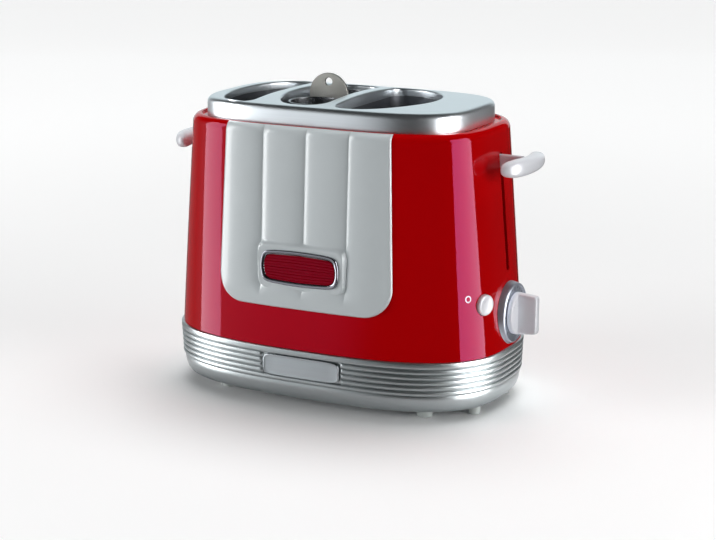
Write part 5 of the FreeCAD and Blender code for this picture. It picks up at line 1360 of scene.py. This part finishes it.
    def world(self, context, strength):
        """Grey round the horizon and darker overhead, with a bright patch and two dark ones."""
        world = bpy.data.worlds.new("studio")
        context.scene.world = world
        world.use_nodes = True
        nodes, links = world.node_tree.nodes, world.node_tree.links
        background = next(node for node in nodes if node.type == "BACKGROUND")
        place = nodes.new("ShaderNodeTexCoord")
        split = nodes.new("ShaderNodeSeparateXYZ")
        links.new(place.outputs["Generated"], split.inputs["Vector"])
        glow = node_range(nodes, links, split.outputs["Z"], (strength, strength * self.OVERHEAD),
                          self.HORIZON, "SMOOTHSTEP")
        turn, span, level = self.BRIGHT
        patches = [("ADD", turn, span, (0.0, strength * level))]
        patches += [("MULTIPLY", turn, span, (1.0, level)) for turn, span, level in self.DARK]
        for way, turn, span, levels in patches:
            toward = nodes.new("ShaderNodeVectorMath")
            toward.operation = "DOT_PRODUCT"
            toward.inputs[1].default_value = (math.cos(math.radians(turn)), math.sin(math.radians(turn)), 0.0)
            links.new(place.outputs["Generated"], toward.inputs[0])
            patch = node_range(nodes, links, toward.outputs["Value"], levels, span, "SMOOTHSTEP")
            glow = node_math(nodes, links, way, glow, patch)
        links.new(glow, background.inputs["Strength"])
        background.inputs["Color"].default_value = self.ROOM_COLOUR

    def lamp(self, name, kind, power, way):
        """A lamp that the camera doesn't see, shining along a way."""
        lamp = bpy.data.lights.new(name, kind)
        lamp.energy = power
        holder = bpy.data.objects.new(name, lamp)
        bpy.context.scene.collection.objects.link(holder)
        holder.rotation_euler = way.to_track_quat("-Z", "Y").to_euler()
        holder.visible_camera = False
        return holder

    def area(self, name, place, target, size, power):
        holder = self.lamp(name, "AREA", power, (Vector(target) - Vector(place)).normalized())
        holder.location = place
        holder.data.shape = "RECTANGLE"
        holder.data.size, holder.data.size_y = size
        return holder

    def lights(self, studio):
        """Two soft overhead lights, two fills that gloss doesn't show, two strips that only gloss shows."""
        for name, way in self.SUNS:
            sun = self.lamp(name, "SUN", studio.key_strength / 2, -Vector(way))
            sun.data.angle = math.radians(self.SUN_SPREAD)
            sun.visible_glossy = False
        for name, place, target, size, power in self.FILLS:
            self.area(name, place, target, size, getattr(studio, power)).visible_glossy = False
        for name, place, target, size, share in self.STRIPS:
            power = studio.strip_glow * share * math.pi * size[0] * size[1]
            self.area(name, place, target, size, power).visible_diffuse = False

    def camera(self, context, studio):
        eye = bpy.data.cameras.new("camera")
        eye.lens = studio.lens
        eye.sensor_width = 36.0
        eye.sensor_fit = "HORIZONTAL"
        eye.clip_start = 0.01
        holder = bpy.data.objects.new("camera", eye)
        context.scene.collection.objects.link(holder)
        place, target = Vector(studio.camera_place), Vector(studio.camera_target)
        holder.location = place
        holder.rotation_euler = (target - place).to_track_quat("-Z", "Y").to_euler()
        context.scene.camera = holder
        context.scene.view_settings.view_transform = "Standard"


class TOASTER_PT_panel(bpy.types.Panel):
    """Buttons for every step of the build"""
    bl_idname = "TOASTER_PT_panel"
    bl_label = "Hot dog toaster"
    bl_space_type = "VIEW_3D"
    bl_region_type = "UI"
    bl_category = "Toaster"

    def draw(self, context):
        for group in (context.scene.toaster_shape, context.scene.toaster_studio):
            box = self.layout.box()
            for name in group.bl_rna.properties.keys():
                if name not in ("rna_type", "name"):
                    box.prop(group, name)
        for step in STEPS:
            self.layout.operator(step.bl_idname)


STEPS = (
    TOASTER_OT_finishes,
    TOASTER_OT_base,
    TOASTER_OT_shell,
    TOASTER_OT_panel,
    TOASTER_OT_badge,
    TOASTER_OT_top,
    TOASTER_OT_levers,
    TOASTER_OT_dial,
    TOASTER_OT_basket,
    TOASTER_OT_stage,
)
CLASSES = (ToasterShape, ToasterStudio) + STEPS + (TOASTER_PT_panel,)


def register():
    for item in CLASSES:
        bpy.utils.register_class(item)
    bpy.types.Scene.toaster_shape = PointerProperty(type=ToasterShape)
    bpy.types.Scene.toaster_studio = PointerProperty(type=ToasterStudio)


def unregister():
    del bpy.types.Scene.toaster_studio
    del bpy.types.Scene.toaster_shape
    for item in reversed(CLASSES):
        bpy.utils.unregister_class(item)


def main():
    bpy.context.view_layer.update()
    register()
    for step in STEPS:
        group, name = step.bl_idname.split(".")
        result = getattr(getattr(bpy.ops, group), name)()
        if result != {"FINISHED"}:
            raise RuntimeError(f"{step.bl_label} did not finish")


if __name__ == "__main__":
    main()
